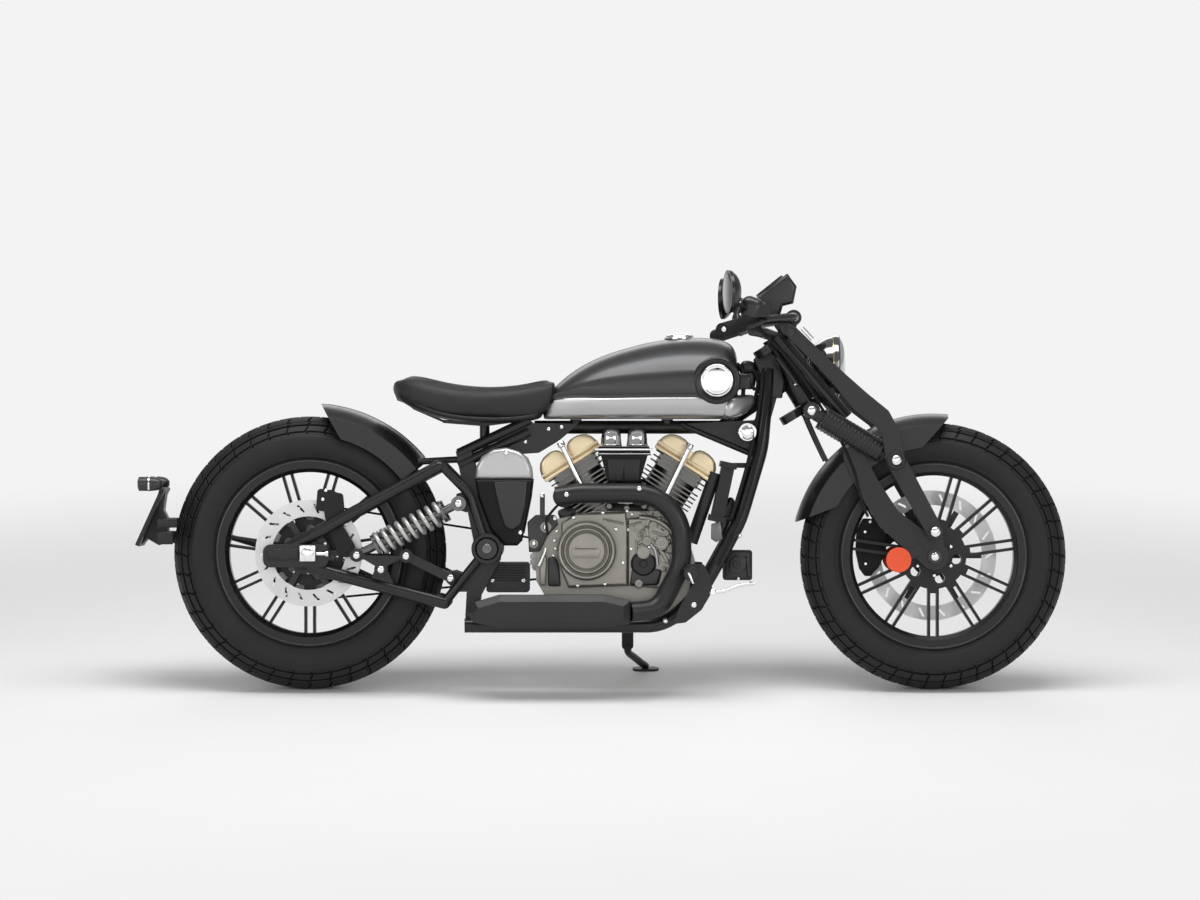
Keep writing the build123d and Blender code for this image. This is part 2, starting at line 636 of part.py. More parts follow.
def rear_spring():
    height = spring_to - spring_from - spring_wire
    mean = spring_r - spring_wire / 2
    coil = Helix(pitch=height / spring_coils, height=height, radius=mean)
    wire = sweep(Plane(origin=coil @ 0, z_dir=coil % 0) * Circle(spring_wire / 2), coil, is_frenet=True)
    return Pos(0, 0, spring_from + spring_wire / 2) * wire


shock_place = Location(strut_frame(shock_front, rocker_a, shock_y))
parts["rear_shocks"] = group(pair(shock_place * rear_shock()))
parts["rear_springs"] = group(pair(shock_place * rear_spring()))


def rocker_side():
    corners = [rocker_a, rocker_b, rocker_c]
    web = make_face(Polyline(*corners, close=True))
    for x, z in corners:
        web += Pos(x, z) * Circle(16)
    cheeks = [extrude(side(shock_y + dy) * web, 3, both=True) for dy in (-14, 14)]
    pins = [rod((x, shock_y - 16, z), (x, shock_y + 19, z), 7) for x, z in corners]
    inner_pin = rod((rocker_b[0], arm_y - 10, rocker_b[1]), (rocker_b[0], shock_y + 16, rocker_b[1]), 7)
    return cheeks[0] + cheeks[1] + pins + inner_pin


rocker = rocker_side() - arm_side
link = bar_plate([rocker_c, link_d], [22, 22], shock_y, 12)
for x, z, r in ((rocker_c[0], rocker_c[1], 7.1), (link_d[0], link_d[1], 7.1)):
    link -= boss(x, z, r, shock_y, 16)
parts["rocker_arms"] = group(pair(rocker), pair(link))


# Fenders

def fender(r_out, skirt_r, tyre_w, start, end):
    half = tyre_w / 2 + wheel_gap + fender_t

    def outline(grow):
        h = half - grow
        top = r_out - grow
        bend = top - 0.38 * h
        low = skirt_r - (3 if grow else 0)
        return make_face([Line((-h, low), (-h, bend)), ThreePointArc((-h, bend), (0, top), (h, bend)),
                          Line((h, bend), (h, low)), Line((h, low), (-h, low))])

    shell = outline(0) - outline(fender_t)
    section = Plane(origin=(0, 0, 0), x_dir=(0, 1, 0), z_dir=(1, 0, 0)) * shell
    return revolve(section.rotate(Axis.Y, 90 - start), Axis.Y, revolution_arc=start - end)


rear_guard = Pos(rear_x, 0, rear_tyre_r) * fender(rear_fender_r, 283, rear_tyre_w, 86, 38)
rear_guard -= plate([(-727, 694), (-830, 694), (-830, 560), (-650, 560)], 0, 2 * rear_tyre_w)
guard_stay = rod((-397.4, post_y, 552), (-489, post_y, 547), 8) - rear_guard
parts["rear_fender"] = rear_guard + pair(guard_stay)
front_guard = Pos(front_x, 0, front_tyre_r) * fender(front_fender_r, 262, front_tyre_w, 166, 84)
front_guard -= plate([(796, 664), (900, 664), (900, 492), (640, 492)], 0, 2 * front_tyre_w)
front_guard -= plate([(400, 394), (520, 441), (520, 340), (400, 340)], 0, 2 * front_tyre_w)
parts["front_fender"] = front_guard


# Rear caliper, tail and number plate

caliper = plate([(-732, 430), (-728, 484), (-668, 470), (-664, 425)], rear_disc_y, 36)
caliper = fillet(caliper.edges().filter_by(Axis.Y), 8)
caliper_gap = Pos(rear_x, 0, rear_tyre_r) * extrude(side(rear_disc_y) * Circle(rear_disc_r + 6), disc_t / 2 + 1,
                                                    both=True)
caliper_arm = bar_plate([(-698, 460), (-690, 400), (-660, 340)], [40, 34, 44], -100, 5)
parts["rear_caliper"] = caliper - caliper_gap + caliper_arm

tail_r = 7.0
tail_y = arm_y + arm_r + tail_r + air
tail_arm = tube([(-800, tail_y, 318), (-960, tail_y, 366), (-1092, tail_y - 10, 396), (-1112, 60, 396),
                 (-1112, -20, 396)], tail_r, [160, 30, 24])
plate_low = Vector(-1161, 0, 346)
plate_top = Vector(-1101, 0, 478)
plate_mid = (plate_low + plate_top) * 0.5
plate_plane = Plane(origin=plate_mid, x_dir=(0, 1, 0), z_dir=(-132, 0, 60))
plate_arm = rod((-1112, 0, 396), tuple(plate_mid), 6)
lamp_bar = rod((-1100, -107, 480), (-1100, 107, 480), 5)
bullet = Pos(-1128, -118, 494) * Rot(0, 90, 0) * Cylinder(17, 60)
bracket = tail_arm + plate_arm + Location(plate_plane) * Box(190, 145, 10) + lamp_bar
parts["tail_bracket"] = bracket - bullet - flip(bullet)
parts["rear_indicators"] = group(pair(bullet))


# Foot controls and the box ahead of the engine

peg_y = -header_y + header_r + 16
peg = rod((164, peg_y, 281), (164, peg_y + 95, 281), 17)
hanger = plate([(122, 160), (138, 202), (174, 262), (152, 270), (146, 292), (162, 304), (196, 302), (212, 268),
                (216, 238), (190, 194), (152, 164)], peg_y - 1, 6)
hanger += [rod((x, peg_y - 2, z), (x, y, z), 10) for x, y, z in ((204, 92, 246), (150, 100, 180))]
peg_side = peg + hanger - cradle
parts["foot_controls"] = group(pair(peg_side))
front_box = fillet((Pos(279, 0, 298) * Box(70, 70, 72)).edges().filter_by(Axis.Y), 6)
box_bar = rod((238, -90, 300), (238, 90, 300), 9)
parts["front_box"] = front_box + box_bar - cradle - flip(cradle)


# Fork

def tube_at(s):
    # how far ahead of the steering axis the fork tube is, s down the axis
    top = Vector(fork_top[0], 0, fork_top[1]) - steer_point
    low = Vector(fork_low[0], 0, fork_low[1]) - steer_point
    square = Vector(cos(radians(rake)), 0, sin(radians(rake)))
    s0 = top.dot(steer_dir)
    s1 = low.dot(steer_dir)
    a0 = top.dot(square)
    a1 = low.dot(square)
    return a0 + (a1 - a0) * (s - s0) / (s1 - s0)


def yoke_plate(s, t):
    ahead = tube_at(s)
    plane = Plane(origin=steer(s), x_dir=(0, 1, 0), z_dir=steer_dir)
    outline = Circle(32) + [Pos(y, -ahead) * Circle(26) for y in (-fork_tube_y, fork_tube_y)]
    reach = hypot(fork_tube_y, ahead)
    for y in (-fork_tube_y, fork_tube_y):
        turn = degrees(atan2(-ahead, y))
        outline += Rot(0, 0, turn) * Pos(reach / 2, 0) * Rectangle(reach, 40)
    return extrude(plane * outline, t / 2, both=True)


fork_dir = Vector(fork_low[0] - fork_top[0], 0, fork_low[1] - fork_top[1]).normalized()
tube_start = Vector(fork_top[0], 0, fork_top[1]) - fork_dir * 26
tube_end = Vector(fork_low[0], 0, fork_low[1])
tube_holes = [rod(tuple(tube_start + Vector(0, y, 0) - fork_dir * 60), tuple(tube_end + Vector(0, y, 0)),
                  fork_tube_r) for y in (-fork_tube_y, fork_tube_y)]
yoke_t = 20.0
girder_points = [(405, 857), (478, 785), (522, 741), (572, 689), (618, 653), (640, 620), girder_low]
yoke_top_s = head_start - yoke_t / 2 - 1
yoke_low_s = head_start + head_length + yoke_t / 2 + 1
stem = rod(tuple(steer(yoke_top_s - 18)), tuple(steer(yoke_low_s + 12)), 16)
shock_lug = rod((shock_top[0], -40, shock_top[1]), (shock_top[0], 40, shock_top[1]), 17)
top_pin = rod((shock_top[0], -girder_y + 20, shock_top[1]), (shock_top[0], girder_y - 20, shock_top[1]), 8)
cross_hole = rod((girder_points[0][0], -girder_y, girder_points[0][1]),
                 (girder_points[0][0], girder_y, girder_points[0][1]), 9.1)
parts["fork_yokes"] = yoke_plate(yoke_top_s, yoke_t) + yoke_plate(yoke_low_s, yoke_t) + stem + shock_lug
parts["fork_yokes"] = parts["fork_yokes"] - tube_holes - cross_hole - top_pin
parts["fork_tubes"] = group([rod(tuple(tube_start + Vector(0, y, 0)), tuple(tube_end + Vector(0, y, 0)),
                                 fork_tube_r - 0.1) for y in (-fork_tube_y, fork_tube_y)])

pin_holes = [rod((x, -200, z), (x, 200, z), r) for x, z, r in (
    (girder_points[0][0], girder_points[0][1], 9.1), (girder_low[0], girder_low[1], 8.1),
    (link_low[0], link_low[1], 8.1))]
girder_widths = [girder_w, girder_w + 2, 38, 50, 48, 40, 46]
girder = bar_plate(girder_points, girder_widths, girder_y, girder_t) - pin_holes
low_link = bar_plate([girder_low, link_low], [46, 40], girder_y - girder_t - 1, girder_t - 1) - pin_holes
parts["girder_arms"] = group(pair(girder), pair(low_link))
cross = rod((girder_points[0][0], -girder_y, girder_points[0][1]),
            (girder_points[0][0], girder_y, girder_points[0][1]), 9)

leg_points = [(556, 560), (590, 490), (640, 410), (front_x, front_tyre_r)]
leg = bar_plate(leg_points, [50, 54, 58, 66], leg_y, leg_t)
leg += bar_plate([(front_x, front_tyre_r), link_low], [52, 40], leg_y, leg_t)
front_axle_hole = rod((front_x, -120, front_tyre_r), (front_x, 120, front_tyre_r), axle_r)
reflector_at = (663, 312)
reflector_y = leg_y + leg_t / 2
leg += bar_plate([(712, 335), reflector_at], [22, 30], reflector_y + 2, 4)
parts["fork_legs"] = group(pair(leg - front_axle_hole - pin_holes))
axle_heads = [boss(front_x, front_tyre_r, 17, s * (leg_y + leg_t / 2 + 6), 12) for s in (1, -1)]
front_bolt = rod((front_x, -leg_y - leg_t / 2, front_tyre_r), (front_x, leg_y + leg_t / 2, front_tyre_r),
                          axle_r - 0.1) + axle_heads

damper_l = hypot(girder_low[0] - shock_top[0], girder_low[1] - shock_top[1])


def front_shock():
    low_align = (Align.CENTER, Align.CENTER, Align.MIN)
    body = Pos(0, 0, 18) * Cylinder(13, damper_l - 36, align=low_align)
    can = Pos(0, 0, 34) * Cylinder(fork_shock_r, damper_l - 76, align=low_align)
    eyes = [Pos(0, 0, z) * Rot(0, 90, 0) * extrude(Circle(20) - Circle(8.1), 10, both=True)
            for z in (0, damper_l)]
    return body + can + eyes


parts["fork_shocks"] = group(pair(Location(strut_frame(shock_top, girder_low, fork_shock_y)) * front_shock()))
low_pins = [rod((x, leg_y + leg_t / 2 if x > 700 else fork_shock_y - 12, z), (x, girder_y + 9, z), 8)
            for x, z in (girder_low, link_low)]
parts["fork_bolts"] = group(front_bolt, [top_pin, cross], pair(low_pins[0]), pair(low_pins[1]))


# Handlebar, lamp, mirrors and instruments

bar_end = Vector(237, bar_half, 857)
bar_bend = Vector(310, 262, 880)
bar_path = [tuple(bar_end), tuple(bar_bend), (bar_x, 100, bar_z), (bar_x, -100, bar_z),
            (bar_bend.X, -bar_bend.Y, bar_bend.Z), (bar_end.X, -bar_end.Y, bar_end.Z)]
handlebar = tube(bar_path, bar_r, [120, 70, 70, 120])
bar_hole = tube(bar_path, bar_r + 0.1, [120, 70, 70, 120])
risers = [rod((400, y, 836), (bar_x, y, bar_z), 12) + rod((bar_x, y - 14, bar_z), (bar_x, y + 14, bar_z), 19)
          - bar_hole - parts["fork_yokes"] - tube_holes - cross_hole for y in (-38, 38)]
parts["handlebar"] = group(handlebar, risers)
bar_out = (bar_end - bar_bend).normalized()
grip_start = bar_end - bar_out * grip_length
grip = rod(tuple(grip_start), tuple(bar_end + bar_out * 6), grip_r) - bar_hole
parts["grips"] = group(pair(grip))
switch_mid = grip_start - bar_out * 22
switch = rod(tuple(grip_start - bar_out * 36), tuple(grip_start - bar_out * 2), 19)
cylinder_box = Pos(switch_mid.X + 18, switch_mid.Y, switch_mid.Z + 24) * Box(44, 46, 30)
lever_start = Vector(switch_mid.X + 32, switch_mid.Y + 6, switch_mid.Z + 2)
lever = rod(tuple(lever_start), tuple(lever_start + bar_out * 110 + Vector(8, 0, -4)), 5)
lever += rod((switch_mid.X, switch_mid.Y, switch_mid.Z), tuple(lever_start), 7)
stalk = rod((switch_mid.X, switch_mid.Y, switch_mid.Z + 20), (262, 330, 926), 5)
parts["bar_controls"] = group(pair(switch + cylinder_box + lever + stalk - bar_hole))
mirror_face = make_face([Line((0, 0), (mirror_r, 0)), Line((mirror_r, 0), (mirror_r, 7)),
                         ThreePointArc((mirror_r, 7), (0.72 * mirror_r, 22), (0, 30)), Line((0, 30), (0, 0))])
mirror_shell = revolve(Plane.XZ * mirror_face, Axis.Z)
mirror_shell = Pos(248, 330, 948) * Rot(0, 0, -12) * Rot(0, 90, 0) * mirror_shell
parts["mirrors"] = group(pair(mirror_shell - parts["bar_controls"]))
bowl = Pos(lamp_x, 0, lamp_z) * Rot(0, -90, 0) * extrude(Circle(lamp_r), 62, taper=20)
lamp_ears = [rod((430, y, lamp_z - 16), (500, y, lamp_z), 7) for y in (-fork_tube_y, fork_tube_y)]
parts["headlight"] = bowl + lamp_ears - tube_holes - parts["fork_yokes"]
dial = Pos(371, 0, 958) * Rot(0, -34, 0) * (chamfer(Cylinder(51, 38).edges(), 4) + Pos(0, 0, -26) * Cylinder(32, 22))
parts["instrument"] = dial + rod((bar_x, 0, bar_z), (388, 0, 934), 14) - bar_hole - handlebar
grip_out = leg_y - leg_t / 2 - air
grip_in = front_disc_y - 17
front_grip = plate([(575, 288), (566, 330), (568, 380), (584, 410), (616, 408), (640, 370), (640, 330), (622, 292),
                    (602, 270), (588, 270)], (grip_out + grip_in) / 2, grip_out - grip_in)
front_grip = fillet(front_grip.edges().filter_by(Axis.Y), 8)
front_gap = Pos(front_x, 0, front_tyre_r) * extrude(side(front_disc_y) * Circle(front_disc_r + 6), disc_t / 2 + 1,
                                                    both=True)
front_arm = bar_plate([(612, 345), (668, 380)], [44, 34], leg_y - leg_t / 2 - air - 2.5, 5)
parts["front_caliper"] = front_grip - front_gap + front_arm
parts["reflectors"] = group(pair(boss(reflector_at[0], reflector_at[1], 30, reflector_y + 8 + air, 8)))


# Side stand

ground_slope = radians(lean)
drop = crown_r * (1 - cos(ground_slope))


def ground_z(y):
    # height in the upright frame of the floor that the leaning bike stands on
    return (y * sin(ground_slope) - drop) / cos(ground_slope)


foot = Vector(stand_foot[0], stand_foot[1], ground_z(stand_foot[1]))
floor_plane = Plane(origin=foot, x_dir=(1, 0, 0), z_dir=(0, -sin(ground_slope), cos(ground_slope)))
pad = extrude(floor_plane * SlotOverall(64, 34), 6)
leg_top = Vector(*stand_pivot)
leg_knee = leg_top + Vector(0, stand_axis[2], -stand_axis[1]) * 36
stand_leg = tube([tuple(leg_top), tuple(leg_knee), tuple(foot + Vector(0, 0, 10))], stand_r, [45])
knuckle = rod(tuple(leg_top - hinge * knuckle_half), tuple(leg_top + hinge * knuckle_half), knuckle_r)
pin_bore = rod(tuple(leg_top - hinge * 30), tuple(leg_top + hinge * 30), pin_r + air)
parts["side_stand"] = stand_leg + knuckle + pad - pin_bore


# Lean onto the stand, then centre the model over the origin

leaning = Rot(-lean, 0, 0)
leaned = {name: [leaning * solid for solid in shape.solids()] for name, shape in parts.items()}
extent = Compound([solid for solids in leaned.values() for solid in solids]).bounding_box()
shift = Pos(-(extent.min.X + extent.max.X) / 2, -(extent.min.Y + extent.max.Y) / 2, -extent.min.Z)


os.makedirs("parts", exist_ok=True)
for name, solids in leaned.items():
    export_step(Compound([shift * solid for solid in solids]), "parts/" + name + ".step")
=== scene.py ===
import json
from math import radians, degrees, cos, sin, pi, sqrt, hypot, atan2

import bpy
import bmesh
from mathutils import Matrix, Vector


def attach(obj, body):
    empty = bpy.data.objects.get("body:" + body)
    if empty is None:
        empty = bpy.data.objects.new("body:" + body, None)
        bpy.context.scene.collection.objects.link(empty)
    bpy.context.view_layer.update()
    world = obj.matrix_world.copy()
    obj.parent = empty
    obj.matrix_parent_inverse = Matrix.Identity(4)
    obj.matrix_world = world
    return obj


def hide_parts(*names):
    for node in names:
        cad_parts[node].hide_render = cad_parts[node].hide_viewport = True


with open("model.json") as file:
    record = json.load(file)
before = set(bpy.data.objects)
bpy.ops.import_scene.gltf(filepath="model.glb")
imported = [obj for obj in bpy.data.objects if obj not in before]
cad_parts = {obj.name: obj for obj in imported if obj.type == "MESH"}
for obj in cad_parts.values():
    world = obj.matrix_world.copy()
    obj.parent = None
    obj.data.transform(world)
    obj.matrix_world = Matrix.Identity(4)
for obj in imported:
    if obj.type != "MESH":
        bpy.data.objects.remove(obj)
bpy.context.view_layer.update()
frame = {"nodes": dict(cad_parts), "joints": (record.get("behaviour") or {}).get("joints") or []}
nodes = frame["nodes"]
print("frame loaded,", len(nodes), "nodes")

# Everything here is drawn upright, in metres: +X front, +Y the bike's left, +Z up,
# x = 0 midway between the axles. leanIn then turns it onto the side stand, where the nodes are.
stance = {"lean": 9.0, "rearAxle": (-0.750, 0.0, 0.328), "frontAxle": (0.750, 0.0, 0.320)}
rearJoint = next(joint for joint in frame["joints"] if joint["name"] == "rear_wheel_spin")
leanIn = (Matrix.Translation(Vector(rearJoint["pos_m"]))
          @ Matrix.Rotation(radians(-stance["lean"]), 4, "X")
          @ Matrix.Translation(-Vector(stance["rearAxle"])))


# Camera: square to the bike's own middle plane, so it looks down by the lean
view = {"centre": (-0.052, 0.0, 0.575), "width": 2.892, "lens": 180.0, "sensor": 36.0}
cameraData = bpy.data.cameras.new("sideCamera")
cameraData.lens = view["lens"]
cameraData.sensor_width = view["sensor"]
cameraData.clip_end = 100.0
camera = bpy.data.objects.new("sideCamera", cameraData)
bpy.context.collection.objects.link(camera)
distance = view["width"] * view["lens"] / view["sensor"]
camera.location = leanIn @ (Vector(view["centre"]) + Vector((0, -distance, 0)))
camera.rotation_euler = (radians(90.0 - stance["lean"]), 0.0, 0.0)
bpy.context.scene.camera = camera


# Node groups: the effects that several finishes share

def feed(tree, node, feeds):
    # gives inputs, by name or number, a value, another node's output, or a node for its first output
    for key, source in feeds.items():
        if isinstance(source, bpy.types.Node):
            source = source.outputs[0]
        if isinstance(source, bpy.types.NodeSocket):
            tree.links.new(source, node.inputs[key])
        else:
            node.inputs[key].default_value = source


def add(tree, kind, feeds, **settings):
    node = tree.nodes.new("ShaderNode" + kind)
    for key, value in settings.items():
        setattr(node, key, value)
    feed(tree, node, feeds)
    return node


def newGroup(name, inputs, outputs):
    # an input without a value is a vector, one with a tuple a colour, and the others are numbers
    group = bpy.data.node_groups.new(name, "ShaderNodeTree")
    for label, value in inputs.items():
        kind = "Vector" if value is None else "Color" if isinstance(value, tuple) else "Float"
        socket = group.interface.new_socket(label, in_out="INPUT", socket_type="NodeSocket" + kind)
        if value is not None:
            socket.default_value = value
    for label in outputs:
        kind = "Color" if label == "Color" else "Float"
        group.interface.new_socket(label, in_out="OUTPUT", socket_type="NodeSocket" + kind)
    return group, group.nodes.new("NodeGroupInput").outputs, group.nodes.new("NodeGroupOutput")


def makeGrain():
    # fine skin of castings, powder coat and moulded plastic
    group, start, end = newGroup("grain", {"Vector": None, "Scale": 900.0, "Cells": 0.3}, ("Height",))
    skin = {"Vector": start["Vector"], "Scale": start["Scale"]}
    noise = add(group, "TexNoise", {**skin, "Detail": 3.0, "Roughness": 0.6})
    cells = add(group, "TexVoronoi", skin, feature="SMOOTH_F1")
    blend = add(group, "Mix", {0: start["Cells"], 2: noise, 3: cells.outputs["Distance"]}, data_type="FLOAT")
    feed(group, end, {"Height": blend})
    return group


def makePatina():
    # slow changes of tone and gloss over a surface, as a thin film of dust and handling leave them
    group, start, end = newGroup("patina", {
        "Vector": None, "Base": (0.1, 0.1, 0.1, 1), "Worn": (0.2, 0.2, 0.2, 1), "Amount": 0.2, "Scale": 9.0,
        "Gloss": 0.3, "Spread": 0.08}, ("Color", "Roughness"))
    clouds = add(group, "TexNoise", {"Vector": start["Vector"], "Scale": start["Scale"], "Detail": 5.0,
                                     "Roughness": 0.62})
    mask = add(group, "MapRange", {"Value": clouds, "From Min": 0.42, "From Max": 0.72})
    strength = add(group, "Math", {0: mask, 1: start["Amount"]}, operation="MULTIPLY")
    blend = add(group, "Mix", {0: strength, 6: start["Base"], 7: start["Worn"]}, data_type="RGBA")
    low, high = (add(group, "Math", {0: start["Gloss"], 1: start["Spread"]}, operation=way)
                 for way in ("SUBTRACT", "ADD"))
    gloss = add(group, "MapRange", {"Value": clouds, "From Min": 0.3, "From Max": 0.7, "To Min": low, "To Max": high})
    feed(group, end, {"Color": blend.outputs[2], "Roughness": gloss})
    return group


def makeBrushed():
    # long fine lines along the second axis of Vector
    group, start, end = newGroup("brushedLines", {"Vector": None, "Scale": 60.0}, ("Height",))
    stretch = add(group, "VectorMath", {0: start["Vector"], 1: (1.0, 0.02, 1.0)}, operation="MULTIPLY")
    noise = add(group, "TexNoise", {"Vector": stretch, "Scale": start["Scale"], "Detail": 4.0, "Roughness": 0.7})
    feed(group, end, {"Height": noise})
    return group


def makeLeather():
    # pebbled grain with finer pores
    group, start, end = newGroup("leatherGrain", {"Vector": None, "Scale": 420.0}, ("Height",))
    cells = add(group, "TexVoronoi", {"Vector": start["Vector"], "Scale": start["Scale"]}, feature="DISTANCE_TO_EDGE")
    crease = add(group, "MapRange", {"Value": cells.outputs["Distance"], "From Min": 0.0, "From Max": 0.18})
    pores = add(group, "TexNoise", {"Vector": start["Vector"], "Detail": 2.0, "Scale": 1500.0})
    total = add(group, "Math", {0: pores, 1: 0.3, 2: crease}, operation="MULTIPLY_ADD")
    feed(group, end, {"Height": total})
    return group


groups = {"grain": makeGrain(), "patina": makePatina(), "brushed": makeBrushed(), "leather": makeLeather()}


# Finishes, found by their own name and by the slot that they stand for
finishes = {}
carrierBlack = (0.012, 0.012, 0.012, 1)


def finish(name, slotName, base, worn=None, amount=0.25, scale=9.0, gloss=0.4, spread=0.07, metal=0.0, coat=0.0,
           coatGloss=0.08, skin="grain", size=1000, cells=0.3, depth=0.12, reach=0.0004, spin=None, core=None,
           shine=0.5, edge=0.8):
    # base and worn are a grey or three values; size is the skin's scale; edge and core are in millimetres
    base = (base,) * 3 if isinstance(base, float) else base
    worn = (worn,) * 3 if isinstance(worn, float) else worn or tuple(min(1.0, c * 1.6 + 0.01) for c in base)
    mat = bpy.data.materials.new(name)
    mat.use_nodes = True
    tree = mat.node_tree
    shader = tree.nodes["Principled BSDF"]
    vector = add(tree, "TexCoord", {}).outputs["Object"]
    patina = add(tree, "Group", {"Vector": vector, "Base": (*base, 1), "Worn": (*worn, 1), "Amount": amount,
                                 "Scale": scale, "Gloss": gloss, "Spread": spread}, node_tree=groups["patina"])
    feed(tree, shader, {"Base Color": patina.outputs["Color"], "Roughness": patina.outputs["Roughness"],
                        "Metallic": metal, "Specular IOR Level": shine, "Coat Weight": coat,
                        "Coat Roughness": coatGloss})
    if spin:
        # lines that run round an axle: the radius stands in for the first axis
        centre = add(tree, "Mapping", {"Vector": vector, "Location": leanIn @ Vector(spin),
                                       "Rotation": (radians(-stance["lean"]), 0, 0)}, vector_type="TEXTURE")
        flat = add(tree, "VectorMath", {0: centre, 1: (1, 0, 1)}, operation="MULTIPLY")
        length = add(tree, "VectorMath", {0: flat}, operation="LENGTH").outputs["Value"]
        vector = add(tree, "CombineXYZ", {"X": length}).outputs[0]
        # the carrier in the middle is painted black
        inside = add(tree, "Math", {0: length, 1: core / 1000}, operation="LESS_THAN")
        paint = add(tree, "Mix", {0: inside, 6: patina.outputs["Color"], 7: carrierBlack}, data_type="RGBA")
        steel = add(tree, "Math", {0: inside, 1: -metal, 2: metal}, operation="MULTIPLY_ADD")
        feed(tree, shader, {"Base Color": paint.outputs[2], "Metallic": steel})
    height = add(tree, "Group", {"Vector": vector, "Scale": size}, node_tree=groups[skin])
    if skin == "grain":
        feed(tree, height, {"Cells": cells})
    bump = add(tree, "Bump", {"Strength": depth, "Distance": reach, "Height": height})
    feed(tree, shader, {"Normal": bump})
    if edge:
        # softened edges that catch the light
        feed(tree, bump, {"Normal": add(tree, "Bevel", {"Radius": edge / 1000}, samples=4)})
    finishes[name] = finishes[slotName] = mat


finish("tyreRubber", "tyre_rubber", (0.010, 0.010, 0.0105), 0.022, amount=0.4, scale=14, gloss=0.56, size=1400,
       depth=0.2, shine=0.3, edge=None)
finish("wheelBlack", "rim_black", 0.003, 0.006, gloss=0.34, coat=0.12, coatGloss=0.2, size=1600, depth=0.05,
       shine=0.35)
finish("frontDisc", "front_disc", 0.78, 0.70, scale=30, gloss=0.38, metal=0.6, skin="brushed", size=900, depth=0.2,
       spin=stance["frontAxle"], core=121.0)
finish("rearDisc", "rear_disc", (0.66, 0.66, 0.655), (0.58, 0.58, 0.575), scale=30, gloss=0.38, metal=0.6,
       skin="brushed", size=900, depth=0.2, spin=stance["rearAxle"], core=87.0)
finish("zincSteel", "zinc_steel", 0.5, 0.36, scale=40, gloss=0.34, metal=0.9, size=700)
finish("darkSteel", None, 0.05, 0.09, scale=40, gloss=0.36, metal=0.8, size=700, depth=0.08)
finish("beltRubber", "belt_rubber", 0.012, gloss=0.7, size=1500, depth=0.2, shine=0.2)
finish("frameBlack", "frame_black", (0.010, 0.010, 0.0105), (0.018, 0.018, 0.019), gloss=0.3, coat=0.12,
       coatGloss=0.14, size=1300, depth=0.05, shine=0.35, edge=1.2)
finish("enginePewter", "engine_grey", (0.28, 0.268, 0.24), (0.40, 0.385, 0.35), amount=0.5, scale=16, gloss=0.38,
       metal=0.85, size=1100, cells=0.5, depth=0.18, edge=1.2)
finish("finBlack", "fin_black", (0.19, 0.187, 0.178), (0.26, 0.256, 0.246), amount=0.4, scale=20, gloss=0.36,
       metal=0.85, size=900, depth=0.1)
finish("headGold", "head_gold", (0.80, 0.66, 0.43), (0.88, 0.76, 0.55), amount=0.5, scale=14, gloss=0.36, metal=0.6,
       cells=0.5, depth=0.1)
finish("chromeTrim", "chrome_trim", (0.84, 0.84, 0.85), 0.78, scale=20, gloss=0.09, spread=0.03, metal=1.0, size=500,
       depth=0.01)
finish("boxPlastic", "box_black", 0.013, gloss=0.45, size=1700, cells=0.6, depth=0.15, shine=0.35)
finish("panelGrey", None, 0.02, gloss=0.42, size=1700, cells=0.6, depth=0.1, shine=0.45)
finish("deepBlack", None, 0.004, gloss=0.5, size=1500, cells=0.5, shine=0.2)
finish("exhaustBlack", "exhaust_black", 0.013, (0.016, 0.016, 0.0155), gloss=0.38, size=1500, depth=0.08, shine=0.4,
       edge=1.2)
finish("silverPaint", "silver_paint", 0.46, 0.52, scale=12, gloss=0.34, metal=0.6, coat=0.4, size=420, cells=0.0,
       depth=0.01)
finish("tankCharcoal", "tank_paint", (0.052, 0.0525, 0.054), (0.062, 0.063, 0.065), amount=0.3, scale=5, gloss=0.4,
       spread=0.03, metal=0.8, coat=0.35, coatGloss=0.16, size=3200, cells=0.9, depth=0.04, edge=None)
finish("tankBand", None, (0.42, 0.42, 0.425), 0.48, scale=8, gloss=0.32, metal=0.85, coat=0.4, skin="brushed",
       size=420, depth=0.08, edge=None)
finish("seatLeather", "seat_leather", (0.011, 0.011, 0.0115), (0.02, 0.02, 0.0205), scale=10, gloss=0.48,
       skin="leather", size=430, depth=0.3, reach=0.0006, shine=0.4, edge=None)
finish("redLens", "red_lens", (0.09, 0.003, 0.005), (0.11, 0.006, 0.008), gloss=0.15, coat=1.0, size=160, depth=0.05)
finish("damperSteel", "damper_steel", 0.16, 0.12, scale=40, gloss=0.3, metal=0.9, size=800)
finish("springSilver", "spring_silver", (0.50, 0.50, 0.49), (0.6, 0.6, 0.58), scale=25, gloss=0.34, metal=0.6,
       coat=0.3, size=1200, depth=0.05, edge=None)
finish("fenderBlack", "fender_black", (0.008, 0.008, 0.0085), (0.015, 0.015, 0.016), scale=5, gloss=0.34, coat=0.2,
       coatGloss=0.18, size=2000, depth=0.03, shine=0.4)
finish("caliperBlack", "caliper_black", 0.010, 0.024, scale=30, gloss=0.42, metal=0.3, shine=0.35)
finish("girderGrey", "girder_grey", (0.014, 0.014, 0.0145), (0.022, 0.022, 0.023), gloss=0.44, size=1500, cells=0.5,
       depth=0.08, shine=0.4, edge=1.4)
finish("shockBlack", "shock_black", 0.008, gloss=0.36, coat=0.15, size=1200, depth=0.06, shine=0.4)
finish("gripRubber", "grip_rubber", 0.008, gloss=0.7, size=600, cells=0.8, depth=0.4, shine=0.25)
finish("mirrorGlass", "mirror_glass", 0.012, gloss=0.3, coat=0.2, size=1500, depth=0.03, shine=0.35)
